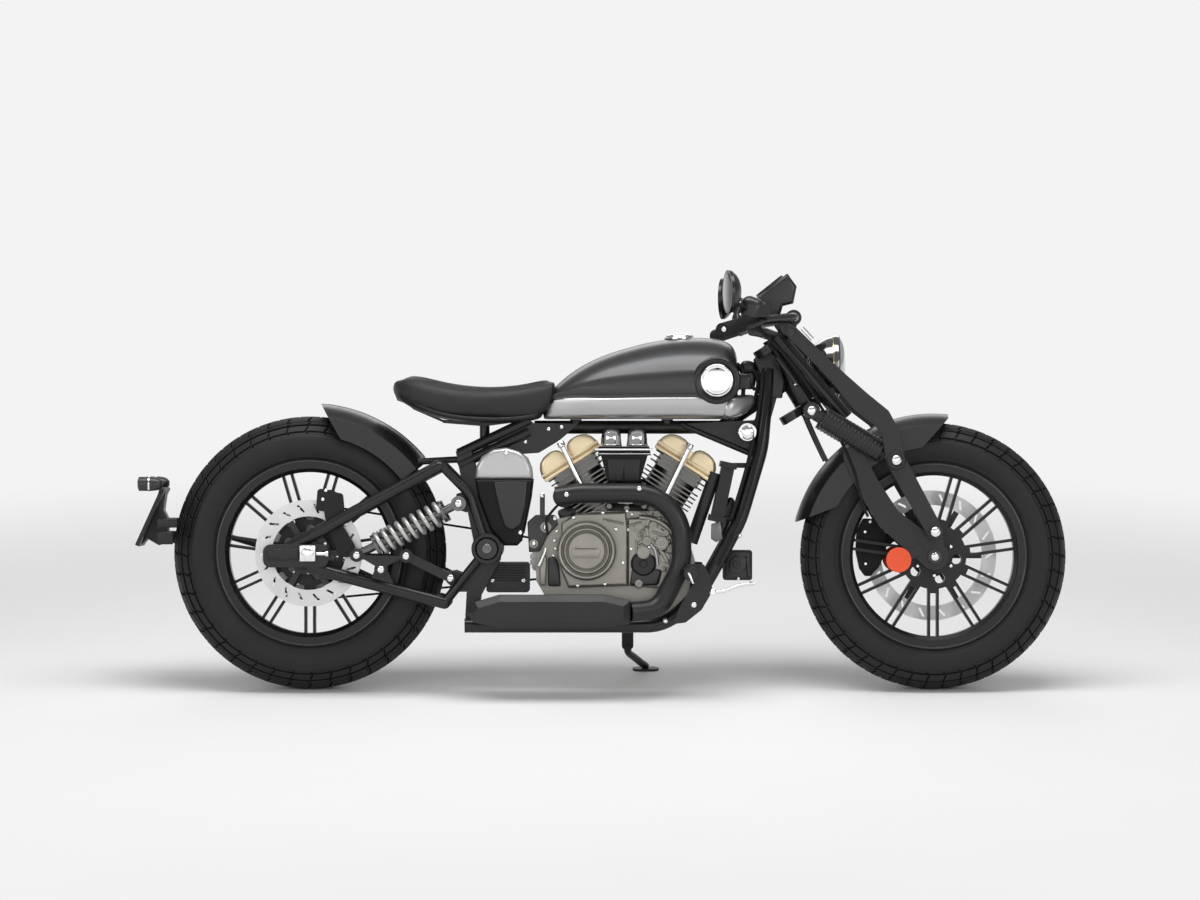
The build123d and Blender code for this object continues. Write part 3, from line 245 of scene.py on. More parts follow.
finish("lampChrome", "lamp_chrome", (0.78, 0.78, 0.79), 0.7, scale=20, gloss=0.1, metal=1.0, size=500, depth=0.01)
finish("instrumentBlack", "instrument_black", (0.012, 0.012, 0.0125), gloss=0.36, coat=0.2, size=1400, depth=0.06,
       shine=0.4)
finish("boltSteel", None, 0.84, 0.72, scale=60, gloss=0.2, metal=1.0, size=900, depth=0.03, edge=None)
finish("rimEdge", None, 0.07, 0.05, scale=40, gloss=0.28, metal=1.0, size=900, depth=0.03, edge=None)
finish("lampBlack", None, (0.16, 0.16, 0.163), 0.2, gloss=0.14, metal=0.9, coat=1.0, coatGloss=0.04, size=600,
       depth=0.01)
finish("brassLine", None, (0.72, 0.58, 0.3), (0.6, 0.48, 0.26), gloss=0.2, metal=1.0, size=700, depth=0.02,
       edge=None)
finish("lampGlass", None, (0.55, 0.56, 0.58), (0.62, 0.63, 0.65), gloss=0.1, metal=0.6, coat=1.0, coatGloss=0.03,
       size=160, cells=0.8, depth=0.05, edge=None)
finish("mirrorSilver", None, (0.045, 0.046, 0.048), (0.035, 0.036, 0.038), gloss=0.05, spread=0.01, metal=1.0,
       size=300, depth=0.004, edge=None)
finish("amberLens", "amber_lens", (0.78, 0.072, 0.012), (0.82, 0.09, 0.016), gloss=0.25, coat=0.4, coatGloss=0.1,
       size=240, cells=1.0, shine=0.3)
byNode = {"swingarm_bolts": "darkSteel", "fork_bolts": "darkSteel", "tail_bracket": "boxPlastic",
          "air_box": "deepBlack", "side_covers": "deepBlack", "battery_box": "panelGrey"}
for name, obj in nodes.items():
    for slot in obj.material_slots:
        key = slot.material.name.split(".")[0]
        if key == "disc_steel":
            key = "front_disc" if name.startswith("front") else "rear_disc"
        slot.material = finishes[byNode.get(name, key)]
print("finishes on the nodes")


# Mesh helpers. Places are given in millimetres of the upright bike, meshes are in metres.

def mm(x, y, z):
    return Vector((x, y, z)) / 1000.0


def piece(bm, name, body, slotName, mats=None, angle=40, level=0):
    # a finished bmesh becomes an object at the origin, leaned in, riding on its body, in its slot's own
    # finish unless mats names others; edges sharper than angle stay hard, and angle 0 is flat shaded
    bmesh.ops.remove_doubles(bm, verts=bm.verts, dist=2e-6)
    bmesh.ops.dissolve_degenerate(bm, edges=bm.edges, dist=1e-7)
    bmesh.ops.recalc_face_normals(bm, faces=bm.faces)
    if angle and not level:
        for edge in bm.edges:
            if len(edge.link_faces) == 2 and edge.calc_face_angle() > radians(angle):
                edge.smooth = False
    bm.transform(leanIn)
    mesh = bpy.data.meshes.new(name)
    bm.to_mesh(mesh)
    bm.free()
    obj = bpy.data.objects.new(name, mesh)
    bpy.context.collection.objects.link(obj)
    for mat in mats or [slotName]:
        mesh.materials.append(finishes[mat])
    for face in mesh.polygons:
        face.use_smooth = angle != 0
    if level:
        rounded = obj.modifiers.new("rounded", "SUBSURF")
        rounded.levels = level
        rounded.render_levels = level
    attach(obj, body)
    return obj


def axisFrame(point, direction):
    # a frame at point, in millimetres, whose Z looks along direction
    turn = Vector(direction).to_track_quat("Z", "Y").to_matrix().to_4x4()
    return Matrix.Translation(mm(*point)) @ turn


def lathe(bm, profile, place, steps=48, close=False):
    # profile: (distance along the axis, radius), turned about the frame's Z
    made = [bmesh.ops.create_vert(bm, co=place @ mm(r, 0, a))["vert"][0] for a, r in profile]
    links = [bm.edges.new(pair) for pair in zip(made, made[1:])]
    if close:
        links.append(bm.edges.new((made[-1], made[0])))
    bmesh.ops.spin(bm, geom=made + links, cent=place.translation, axis=place.to_3x3() @ Vector((0, 0, 1)),
                   dvec=(0, 0, 0), angle=2 * pi, steps=steps, use_merge=True, use_normal_flip=False,
                   use_duplicate=False)


def turned(name, body, slotName, profile, places, mats=None, angle=40, **lathing):
    # a piece that has the same turned shape at each place
    bm = bmesh.new()
    for place in places:
        lathe(bm, profile, place, **lathing)
    return piece(bm, name, body, slotName, mats, angle)


def lofted(bm, rings):
    # rings of places, each joined to the next by a bridge, with both ends closed
    loops = []
    for ring in rings:
        made = bmesh.ops.create_circle(bm, cap_ends=False, segments=len(ring), radius=0.01)["verts"]
        for vert, place in zip(made, ring):
            vert.co = place
        loops.append(list({edge for vert in made for edge in vert.link_edges}))
    for first, second in zip(loops, loops[1:]):
        bmesh.ops.bridge_loops(bm, edges=first + second)
    for loop in (loops[0], loops[-1]):
        bmesh.ops.contextual_create(bm, geom=loop)


def softBevel(bm, edges, width, segments=2):
    # width in millimetres
    bmesh.ops.bevel(bm, geom=edges, offset=width / 1000, segments=segments, affect="EDGES", profile=0.5, material=-1)


def block(bm, centre, size, turn=0.0, bevel=1.5, segments=2):
    # a box with rounded edges, turned in degrees in the side view
    place = (Matrix.Translation(mm(*centre)) @ Matrix.Rotation(radians(turn), 4, "Y")
             @ Matrix.Diagonal((size[0] / 1000, size[1] / 1000, size[2] / 1000, 1)))
    made = bmesh.ops.create_cube(bm, size=1.0, matrix=place)["verts"]
    softBevel(bm, list({edge for vert in made for edge in vert.link_edges}), bevel, segments)


def slab(bm, outline, y, thick, bevel=1.2, segments=2, rims=False):
    # a flat plate from its side outline (x, z), centred at y; rims bevels only its two faces' edges
    made = [bmesh.ops.create_vert(bm, co=mm(x, y - thick / 2, z))["vert"][0] for x, z in outline]
    face = bm.faces.new(made)
    raised = bmesh.ops.extrude_face_region(bm, geom=[face])["geom"]
    top = [item for item in raised if isinstance(item, bmesh.types.BMVert)]
    bmesh.ops.translate(bm, verts=top, vec=mm(0, thick, 0))
    edges = {edge for vert in made + top for edge in vert.link_edges}
    if rims:
        edges = {edge for edge in edges if (edge.verts[0] in top) == (edge.verts[1] in top)}
    softBevel(bm, list(edges), bevel, segments)


def hose(name, points, radius, body, slotName, mat=None):
    # a clipped hose, cable or bent rod along a smooth line
    data = bpy.data.curves.new(name, "CURVE")
    data.dimensions = "3D"
    data.bevel_depth = radius / 1000
    data.bevel_resolution = 3
    data.use_fill_caps = True
    spline = data.splines.new("NURBS")
    spline.points.add(len(points) - 1)
    for point, place in zip(spline.points, points):
        point.co = (*(leanIn @ mm(*place)), 1)
    spline.order_u = 3
    spline.use_endpoint_u = True
    spline.resolution_u = 8
    obj = bpy.data.objects.new(name, data)
    bpy.context.collection.objects.link(obj)
    data.materials.append(finishes[mat or slotName])
    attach(obj, body)


uprightBack = leanIn.inverted()


def surfaceY(names, x, z, side=-1):
    # where a line square to the bike's side first meets the named nodes
    start = leanIn @ mm(x, side * 700, z)
    direction = leanIn.to_3x3() @ Vector((0, -side, 0))
    best = None
    for name in names:
        hit, place = nodes[name].ray_cast(start, direction)[:2]
        if hit:
            y = (uprightBack @ place).y * 1000
            if best is None or y * side > best * side:
                best = y
    return best


def outward(y, *spots):
    # frames that look out from both sides at each spot (x, z); y is a distance or the nodes to sit on
    return [axisFrame((x, surfaceY(y, x, z, side) if isinstance(y, list) else side * y, z), (0, side, 0))
            for x, z in spots for side in (1, -1)]


def mirrored(right):
    # a closed ring from its right half
    return right + [Vector((v.x, -v.y, v.z)) for v in reversed(right[1:-1])]


def shapedRing(shape, x, half, low, high):
    # shape: half of a ring as shares of its half width and height
    return mirrored([mm(x, -half * y, low + (high - low) * z) for y, z in shape])


# Tyres: a bare carcass and rows of bevelled tread blocks up to the tyre's outer surface
tyres = {
    "front": {"node": "front_tyre", "body": "front_wheel", "centre": (750.0, 320.0), "radius": 320.0, "width": 130.0,
              "count": 46, "rows": (305.5, 302.0, 287.5, 285.5, 277.0), "slant": 1.3},
    "rear": {"node": "rear_tyre", "body": "rear_wheel", "centre": (-750.0, 328.0), "radius": 328.0, "width": 150.0,
             "count": 40, "rows": (311.0, 307.0, 295.0, 292.5, 285.0), "slant": 1.5},
    "crown": 72.5, "bead": 208.0, "flange": 222.0, "inset": 15.0, "depth": 6.2, "centreHalf": 15.0, "gap": 4.6,
    "sipe": 1.4, "wall": 7.0, "ribs": (226.0, 233.0), "slices": 48,
}


def tyreSection(radius, width):
    # half of the outer line, from the crown's middle to the bead, as (y, r) with its length so far
    half = width / 2
    shoulder = 0.77 * half
    crown = tyres["crown"]
    sweep = atan2(shoulder, sqrt(crown ** 2 - shoulder ** 2))
    line = [(crown * sin(sweep * i / 24), radius - crown + crown * cos(sweep * i / 24)) for i in range(25)]
    a, b, c = line[-1], (half, (tyres["bead"] + radius) / 2), (half - tyres["inset"], tyres["flange"] + 2)
    d = 2 * (a[0] * (b[1] - c[1]) + b[0] * (c[1] - a[1]) + c[0] * (a[1] - b[1]))
    squares = [p[0] ** 2 + p[1] ** 2 for p in (a, b, c)]
    cy = (squares[0] * (b[1] - c[1]) + squares[1] * (c[1] - a[1]) + squares[2] * (a[1] - b[1])) / d
    cr = (squares[0] * (c[0] - b[0]) + squares[1] * (a[0] - c[0]) + squares[2] * (b[0] - a[0])) / d
    arcR = hypot(a[0] - cy, a[1] - cr)
    first = atan2(a[1] - cr, a[0] - cy)
    last = atan2(c[1] - cr, c[0] - cy)
    line += [(cy + arcR * cos(first + (last - first) * i / 30), cr + arcR * sin(first + (last - first) * i / 30))
             for i in range(1, 31)]
    run = [0.0]
    for p, q in zip(line, line[1:]):
        run.append(run[-1] + hypot(q[0] - p[0], q[1] - p[1]))
    return line, run


def along(section, t):
    # place and outward direction at length t, on either side of the crown
    line, run = section
    side = -1 if t < 0 else 1
    t = min(abs(t), run[-1] - 1e-6)
    i = max(k for k in range(len(run) - 1) if run[k] <= t)
    share = (t - run[i]) / (run[i + 1] - run[i])
    (y0, r0), (y1, r1) = line[i], line[i + 1]
    size = hypot(y1 - y0, r1 - r0)
    return (side * (y0 + (y1 - y0) * share), r0 + (r1 - r0) * share), (side * (r0 - r1) / size, (y1 - y0) / size)


def lengthAt(section, radius):
    # the length at which the outer line comes down to a radius
    line, run = section
    return next(run[i] for i in range(len(line)) if line[i][1] <= radius)


def treadedTyre(which):
    spec = tyres[which]
    section = tyreSection(spec["radius"], spec["width"])
    cx, cz = spec["centre"]
    edge, rowTwo, rowTwoEnd, lug, lugEnd = (lengthAt(section, r) for r in spec["rows"])
    depth = tyres["depth"]
    total = section[1][-1]
    bm = bmesh.new()

    # carcass, sunk under the tread
    half = []
    for i in range(tyres["slices"] + 1):
        t = total * i / tyres["slices"]
        sink = depth if t < lug else depth * max(0.0, 1 - (t - lug) / (lugEnd - lug))
        (y, r), (ny, nr) = along(section, t)
        half.append((y - ny * sink, r - nr * sink))
    beadY, beadR = spec["width"] / 2 - tyres["inset"], tyres["bead"]
    wall = tyres["wall"]
    inside = [(max(0.0, y - wall), r - wall) for y, r in reversed(half[::6]) if r - wall > beadR + 12]
    outer = half + [(beadY, beadR), (beadY - 9, beadR), (beadY - 10, beadR + 12)] + inside
    outline = outer + [(-y, r) for y, r in reversed(outer[1:-1])]
    place = axisFrame((cx, 0, cz), (0, 1, 0))
    lathe(bm, outline, place, steps=120, close=True)
    for ring in tyres["ribs"]:
        t = lengthAt(section, ring)
        (y, r), (ny, nr) = along(section, t)
        for side in (1, -1):
            rib = [(side * (y - 1.5), r + 2.2), (side * (y + 0.9), r + 1.2), (side * (y + 0.9), r - 1.2),
                   (side * (y - 1.5), r - 2.2)]
            lathe(bm, rib, place, steps=120, close=True)

    # one pitch of blocks, laid flat as (length round the crown, length across, height)
    pitch = 360.0 / spec["count"]
    gapTurn = degrees(tyres["gap"] / spec["radius"])
    centre = tyres["centreHalf"]
    cell = bmesh.new()
    rows = [(-centre, centre, 0.5, 0.0), (centre + 3, edge - 10, 0.0, spec["slant"]),
            (edge - 10 + tyres["sipe"], edge, 0.0, spec["slant"] * 1.2), (rowTwo, rowTwoEnd, 0.12, spec["slant"]),
            (lug, lugEnd, 0.12, 0.0)]
    for low, high, shift, slant in rows:
        for side in ((1,) if low < 0 else (1, -1)):
            start = pitch * shift + gapTurn / 2
            width = pitch - gapTurn
            top = 0.0 if low < lug - 0.01 else -2.2
            made = bmesh.ops.create_grid(cell, x_segments=3, y_segments=2, size=0.5)["verts"]
            faces = list({face for vert in made for face in vert.link_faces})
            for vert in made:
                u, v = vert.co.x + 0.5, vert.co.y + 0.5
                t = low + (high - low) * v
                turn = start + width * u + slant * (v - 0.5) + (1.2 * (v - 0.5) if low < 0 else 0.0)
                vert.co = Vector((radians(turn) * spec["radius"], side * t if low >= 0 else t, top))
            raised = bmesh.ops.extrude_face_region(cell, geom=faces)["geom"]
            lift = [item for item in raised if isinstance(item, bmesh.types.BMVert)]
            lifted = set(lift)
            rim = [item for item in raised if isinstance(item, bmesh.types.BMEdge)
                   and len([face for face in item.link_faces if all(v in lifted for v in face.verts)]) == 1]
            for vert in made:
                vert.co.z = -depth - 1.0
            cell.normal_update()
            softBevel(cell, rim, 900.0, 1)
    flat = bpy.data.meshes.new("treadPitch")
    cell.to_mesh(flat)
    cell.free()
    for i in range(spec["count"]):
        known = len(bm.verts)
        bm.from_mesh(flat)
        bm.verts.ensure_lookup_table()
        for vert in bm.verts[known:]:
            length, t, height = vert.co
            (y, r), (ny, nr) = along(section, t)
            angle = length / spec["radius"] + radians(pitch * i)
            reach = r + nr * height
            vert.co = mm(cx + reach * cos(angle), y + ny * height, cz + reach * sin(angle))
    bpy.data.meshes.remove(flat)
    obj = piece(bm, which + "Tyre", spec["body"], "tyre_rubber", angle=35)
    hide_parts(spec["node"])
    print(which, "tyre,", len(obj.data.polygons), "faces")


treadedTyre("front")
treadedTyre("rear")


# Tank: lofted from sections with a ridge above and a brushed band below a groove
tank = {
    "floor": 649.0,
    # x, half width, top, upper edge of the band, ridge
    "stations": [(-189, 52, 676, 664, 670), (-181, 66, 702, 686, 694), (-164, 78, 724, 696, 708),
                 (-140, 89, 747, 697.5, 720), (-112, 99, 768, 698, 731), (-80, 109, 787, 698, 741),
                 (-40, 119, 805, 697, 750), (10, 128, 821, 698, 756), (60, 136, 834, 698.5, 761),
                 (110, 142, 843, 699, 765), (160, 146, 847, 699, 768), (205, 146.5, 846.5, 699, 768),
                 (236, 142, 842, 699, 764), (254, 136, 836, 699, 759), (267, 126, 827, 699, 752),
                 (275, 112, 812, 699, 744), (279, 96, 796, 700, 738)],
    # x, half width, low, high
    "chin": [(232, 120, 650, 690), (250, 140, 648, 701), (268, 133, 649, 706), (284, 122, 654, 708),
             (298, 108, 662, 708), (309, 96, 672, 708), (316, 84, 684, 707), (319, 72, 692, 704)],
    "chinShape": [(0, 0), (0.55, 0), (0.86, 0.03), (0.975, 0.14), (1.0, 0.5), (0.975, 0.86), (0.86, 0.98), (0.55, 1),
                  (0, 1)],
}


def tankRing(x, half, top, band, ridge):
    floorZ = tank["floor"]
    share = min(1.0, (top - floorZ) / 120)
    points = [(0, floorZ), (0.5, floorZ), (0.82, floorZ + 1), (0.92, floorZ + 10 * share),
              (0.965, floorZ + 24 * share), (0.982, band - 4 * share), (0.975, band - 1 * share),
              (0.95, band + 0.5 * share), (0.945, band + 9 * share), (0.972, band + 11 * share),
              (0.985, band + 15 * share), (1.0, band + 28 * share), (0.99, ridge - 14 * share),
              (0.962, ridge - 3 * share), (0.94, ridge + 2 * share), (0.84, ridge + (top - ridge) * 0.36),
              (0.68, ridge + (top - ridge) * 0.64), (0.48, ridge + (top - ridge) * 0.85),
              (0.24, ridge + (top - ridge) * 0.965), (0, top)]
    return mirrored([mm(x, -half * y, z) for y, z in points])


bm = bmesh.new()
lofted(bm, [tankRing(*station) for station in tank["stations"]])
for face in bm.faces:
    spot = face.calc_center_median() * 1000
    station = min(tank["stations"], key=lambda row: abs(row[0] - spot.x))
    if spot.z < station[3] + 0.5:
        face.material_index = 1
tankShell = piece(bm, "tankShell", "chassis", "tank_paint", ["tankCharcoal", "tankBand"], level=2)
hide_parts("fuel_tank")

bm = bmesh.new()
lofted(bm, [shapedRing(tank["chinShape"], *station) for station in tank["chin"]])
piece(bm, "tankChin", "chassis", "tank_paint", ["tankBand"], level=2)

# dark cheeks between tank and steering head
bm = bmesh.new()
for side in (1, -1):
    slab(bm, [(262, 720), (308, 722), (309, 748), (302, 757), (262, 759)], side * 104, 44, bevel=5, segments=3)
piece(bm, "tankCheeks", "chassis", "frame_black")

# round side medallions, left bare: a chrome dome in a dark ring
medallion = {"spot": (227.0, 741.0), "y": 138.0, "radius": 39.0, "ring": 57.0, "hole": 40.5}
places = outward(medallion["y"], medallion["spot"])
r = medallion["radius"]
medals = turned("tankMedals", "chassis", "chrome_trim", [
    (0, 0), (0, r), (12, r), (13.5, r - 1.5), (13.5, r - 4), (12, r - 6), (12.6, r - 9), (14.2, r * 0.5), (15, 0)],
    places, angle=50, steps=64)
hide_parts("tank_medallions")
r, hole = medallion["ring"], medallion["hole"]
turned("medalRings", "chassis", "frame_black", [
    (-4, hole), (-4, r), (4, r), (7, r - 2), (9, r - 6), (8.5, 45), (5, 41), (4, hole)], places, angle=50, steps=64,
    close=True)
print("tank built")


# Seat: a padded saddle blown up by a short cloth run, then its moulded base
seat = {
    # x, half width, bottom, top
    "stations": [(-551, 62, 718, 742), (-540, 92, 702, 747), (-518, 120, 686, 751), (-480, 138, 666, 749),
                 (-430, 145, 650, 735), (-370, 135, 644, 725), (-310, 119, 643, 722), (-255, 105, 644, 726),
                 (-212, 96, 648, 735), (-186, 90, 660, 741), (-168, 86, 686, 745), (-160, 82, 712, 746)],
    # cloth: voxel size and the most a point may move in metres
    "voxel": 0.005, "pressure": 4.0, "cap": 0.005, "steps": 20, "fill": 0.7,
    # x, half width, low, high
    "base": [(-545, 54, 712, 722), (-528, 92, 696, 712), (-500, 118, 678, 694), (-460, 134, 660, 676),
             (-410, 137, 645, 660), (-340, 124, 640, 654), (-270, 104, 640, 654), (-215, 92, 644, 660),
             (-188, 84, 654, 672)],
    "baseShape": [(0, 0), (0.6, 0), (0.93, 0.1), (1.0, 0.4), (1.0, 0.85), (0.97, 1.0), (0.5, 1.0), (0, 1.0)],
}


def seatRing(x, half, low, top):
    height = top - low
    points = [(0, low + 4), (0.5, low + 2), (0.86, low + 0.06 * height), (0.97, low + 0.22 * height),
              (1.0, low + 0.5 * height), (0.97, low + 0.78 * height), (0.87, low + 0.95 * height),
              (0.66, top), (0.35, top - 0.05 * height), (0, top - 0.08 * height)]
    return mirrored([mm(x, -half * y, z) for y, z in points])


bm = bmesh.new()
lofted(bm, [seatRing(*station) for station in seat["stations"]])
seatPad = piece(bm, "seatPad", "chassis", "seat_leather", level=2)


def evaluated(obj):
    graph = bpy.context.evaluated_depsgraph_get()
    return bpy.data.meshes.new_from_object(obj.evaluated_get(graph))


def inflate(obj, spec):
    # voxel skin, a few steps of cloth under pressure, movement held to a cap, result kept as the mesh
    skin = obj.modifiers.new("skin", "REMESH")
    skin.mode = "VOXEL"
    skin.voxel_size = spec["voxel"]
    start = evaluated(obj)
    obj.modifiers.clear()
    obj.data = start
    rest = [vert.co.copy() for vert in start.vertices]
    cloth = obj.modifiers.new("blow", "CLOTH")
    cloth.settings.use_pressure = True
    cloth.settings.uniform_pressure_force = spec["pressure"]
    cloth.settings.effector_weights.gravity = 0.0
    scene = bpy.context.scene
    scene.frame_start = 1
    scene.frame_end = spec["steps"]
    for step in range(1, spec["steps"] + 1):
        scene.frame_set(step)
    blown = evaluated(obj)
    obj.modifiers.clear()
    for vert, home in zip(blown.vertices, rest):
        move = vert.co - home
        if move.length > spec["cap"]:
            vert.co = home + move * (spec["cap"] / move.length)
    obj.data = blown
    scene.frame_set(1)


inflate(seatPad, seat)
for face in seatPad.data.polygons:
    face.use_smooth = True
if not seatPad.data.materials:
    seatPad.data.materials.append(finishes["seatLeather"])
finer = seatPad.modifiers.new("finer", "SUBSURF")
finer.levels = 1
finer.render_levels = 1
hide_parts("seat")
print("seat blown up,", len(seatPad.data.polygons), "faces")

# moulded base under the pad, which the seat's lower edge sits in
bm = bmesh.new()
lofted(bm, [shapedRing(seat["baseShape"], *station) for station in seat["base"]])
piece(bm, "seatBase", "chassis", "box_black", level=1)


# Engine top: domed rocker boxes, pushrod bars, intake domes and the air box trim
vee = {"crank": (15.0, 334.0), "half": 32.5}


def onVee(sign, s, h):
    # s across and h up one cylinder, as (x, z)
    c, d = cos(radians(vee["half"])), sin(radians(vee["half"]))
    return vee["crank"][0] + sign * (h * d + s * c), vee["crank"][1] + h * c - s * d


rockerBox = {
    "lobe": [(7, 251), (7, 281), (10, 290), (17, 296), (27, 299), (40, 299), (54, 296), (66, 289), (74, 278),
             (78, 265), (79, 251)],
    "skirt": [(-77, 243), (77, 243), (79, 246), (79, 252), (-79, 252), (-79, 246)],
    "rib": [(2, 257), (79, 257), (81, 260), (79, 263), (2, 263)],
    "saddle": [(-9, 250), (9, 250), (9, 282), (-9, 282)], "wide": 124.0,
}
bm = bmesh.new()
for sign in (1, -1):
    for flipped in (1, -1):
        slab(bm, [onVee(sign, s * flipped, h) for s, h in rockerBox["lobe"]], 0, rockerBox["wide"], 9, 3, rims=True)
        slab(bm, [onVee(sign, s * flipped, h) for s, h in rockerBox["rib"]], 0, rockerBox["wide"] + 5, 1.5, 2)
    slab(bm, [onVee(sign, s, h) for s, h in rockerBox["skirt"]], 0, rockerBox["wide"] + 6, 2, 2)
    slab(bm, [onVee(sign, s, h) for s, h in rockerBox["saddle"]], 0, rockerBox["wide"] - 18, 3, 2)
rockers = piece(bm, "rockerBoxes", "chassis", "head_gold", angle=32)
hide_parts("rocker_covers")

pushBars = {"y": -84.0, "radius": 6.4, "lines": (((-146.4, 591.7), (-91.0, 478.0)), ((164.5, 586.8), (101.0, 455.0)))}
bm = bmesh.new()
for (x0, z0), (x1, z1) in pushBars["lines"]:
    length = hypot(x1 - x0, z1 - z0)
    r = pushBars["radius"]
    place = axisFrame((x0, pushBars["y"], z0), (x1 - x0, 0, z1 - z0))
    lathe(bm, [(-3, 0), (-3, r + 1), (-1, r + 2.5), (9, r + 2.5), (11, r), (length - 16, r), (length - 14, r + 2),
               (length, r + 2), (length, 0)], place, steps=28)
    hub = axisFrame((x0, pushBars["y"] + 2, z0), (0, 1, 0))
    lathe(bm, [(0, 0), (0, 7.5), (30, 7.5), (30, 0)], hub, steps=24)
bars = piece(bm, "pushrodBars", "chassis", "chrome_trim")
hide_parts("pushrod_tubes")

domes = {"places": ((-25.0, -62.0), (37.0, -62.0)), "foot": 584.3,
         "line": [(0, 0), (0, 25), (2, 26), (5, 26), (6, 25), (20, 24.4), (30, 22.5), (37, 19), (41.5, 13), (43, 7),
                  (43.3, 0)]}
intake = turned("intakeDomes", "chassis", "chrome_trim", domes["line"],
                [axisFrame((x, y, domes["foot"]), (0, 0, 1)) for x, y in domes["places"]], angle=50)
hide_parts("intake_stacks")
bm = bmesh.new()
block(bm, (5, -102.0, 576.5), (138, 3, 5), bevel=1)
block(bm, (5, -101.5, 566.0), (134, 2, 2), bevel=0.6)
piece(bm, "airBoxTrim", "chassis", "chrome_trim")
bm = bmesh.new()
for x in (-14, 24):
    slab(bm, [(x - 16, 502), (x + 16, 502), (x + 20, 552), (x - 20, 552)], -101.6, 2.4, 1.0, 2)
piece(bm, "airBoxPanels", "chassis", "box_black")

# oil filter low on the case's right side
turned("oilFilter", "chassis", "exhaust_black", [
    (0, 0), (0, 31), (34, 31), (40, 29), (43, 25), (43, 10), (40, 8), (40, 0)],
    [axisFrame((52, -66, 303), (0, -1, 0))], angle=35)
print("engine top built")


# Bolts: round heads with a socket, each seated on what the side view shows there
boltShapes = {
    # diameter share per height share, from the seat to the socket's floor
    "button": [(-0.6, 0), (-0.6, 1.0), (0.35, 1.0), (0.8, 0.86), (1.0, 0.62), (1.0, 0.42), (0.45, 0.38), (0.4, 0)],
    "dome": [(-0.6, 0), (-0.6, 1.0), (0.2, 1.0), (0.6, 0.88), (0.86, 0.6), (1.0, 0.25), (1.0, 0)],
}
outside = [name for name in nodes if name not in ("fuel_tank", "tank_medallions", "seat", "rocker_covers",
                                                  "pushrod_tubes", "intake_stacks", "front_tyre", "rear_tyre")]


def boltHeads(name, body, places, shape="button", sides=(-1,)):
    # places: (x, z, radius, height)
    bm = bmesh.new()
    for x, z, r, high in places:
        for side in sides:
            profile = [(a * high, share * r) for a, share in boltShapes[shape]]
            lathe(bm, profile, axisFrame((x, surfaceY(outside, x, z, side), z), (0, side, 0)), steps=18)
    piece(bm, name, body, "chrome_trim", ["boltSteel"])


boltHeads("coverBolts", "chassis", [
    (-45.2, 425, 4.6, 4), (12.7, 428, 4.6, 4), (24.7, 420.5, 4.6, 4), (-39.2, 406.1, 4.2, 4), (-13.9, 385.6, 5, 4),
    (15.1, 384.4, 5, 4), (22.3, 338.6, 4.6, 4), (3, 304.9, 5, 4), (-40.4, 254.3, 4.6, 4), (-105.4, 250.6, 4.6, 4),
    (-156, 292.8, 4.6, 4), (-163.3, 321.7, 4.2, 4), (-158.5, 338.6, 4.2, 4), (-160.9, 357.9, 4.6, 4),
    (-156, 380.8, 4.6, 4), (-115.1, 413.3, 5, 4)])
boltHeads("pumpBolts", "chassis", [
    (65.7, 343.4, 4.6, 5), (70.5, 324.1, 4.6, 5), (75.3, 394, 4.6, 5), (58.4, 401.3, 4.6, 5), (106.6, 377.2, 4.6, 5),
    (68.1, 304.9, 5.5, 6), (41.6, 254.3, 5, 5)])
# engine mount plate behind the case, with its bolts in collars
mount = {"y": -92.0, "thick": 8.0,
         "plate": [(-226, 402), (-206, 420), (-160, 420), (-152, 396), (-176, 372), (-196, 332), (-222, 330)],
         "stay": [(-196, 412), (-184, 412), (-184, 470), (-196, 470)],
         "bolts": [(-160, 411, 0, 5.5), (-181.6, 390, 13, 6), (-210.7, 350, 10.5, 5), (-190.5, 466.5, 0, 6)]}
bm = bmesh.new()
slab(bm, mount["plate"], mount["y"] + 4, mount["thick"], 3, 3)
slab(bm, mount["stay"], mount["y"] + 4, mount["thick"], 2, 2)
piece(bm, "mountPlate", "chassis", "frame_black", ["darkSteel"])
bm = bmesh.new()
for x, z, collar, r in mount["bolts"]:
    lathe(bm, [(-2, 0), (-2, r), (5, r), (7, r - 2), (7.5, 0)], axisFrame((x, mount["y"], z), (0, -1, 0)), steps=18)
piece(bm, "engineBolts", "chassis", "chrome_trim", ["boltSteel"])
bm = bmesh.new()
for x, z, collar, r in mount["bolts"]:
    if collar:
        lathe(bm, [(-2, 0), (-2, collar), (3, collar), (4, collar - 2), (4, r + 2), (2, r + 1), (2, 0)],
              axisFrame((x, mount["y"], z), (0, -1, 0)), steps=32)
piece(bm, "mountCollars", "chassis", "engine_grey")
boltHeads("headerBolts", "chassis", [(-131.9, 468.7, 6.6, 5), (41.6, 483.2, 6.6, 5)], "dome")
boltHeads("frameBolts", "chassis", [
    (-175.3, 625.4, 5.5, 5), (-144, 630.2, 5.5, 5), (-230.8, 594.1, 5.2, 5), (104.2, 167.5, 7, 6),
    (171.7, 206.1, 7.5, 6)], "dome", sides=(-1, 1))
boltHeads("panelScrews", "chassis", [
    (-276.5, 567.6, 5.5, 4), (-242.8, 377.2, 5.5, 4), (-310.3, 261.5, 6, 4), (-235.6, 261.5, 6, 4)], "button",
    sides=(-1, 1))
boltHeads("boxBolts", "chassis", [(282.6, 369.9, 5.5, 5), (280.2, 266.3, 5, 5)], "dome")
boltHeads("linkBolts", "chassis", [
    (-633, 324, 9.5, 7), (-575, 290, 9.5, 7), (-515, 322, 9.5, 7), (-409, 269, 9.5, 7), (-390, 447, 10.5, 8)], "dome",
    sides=(-1, 1))
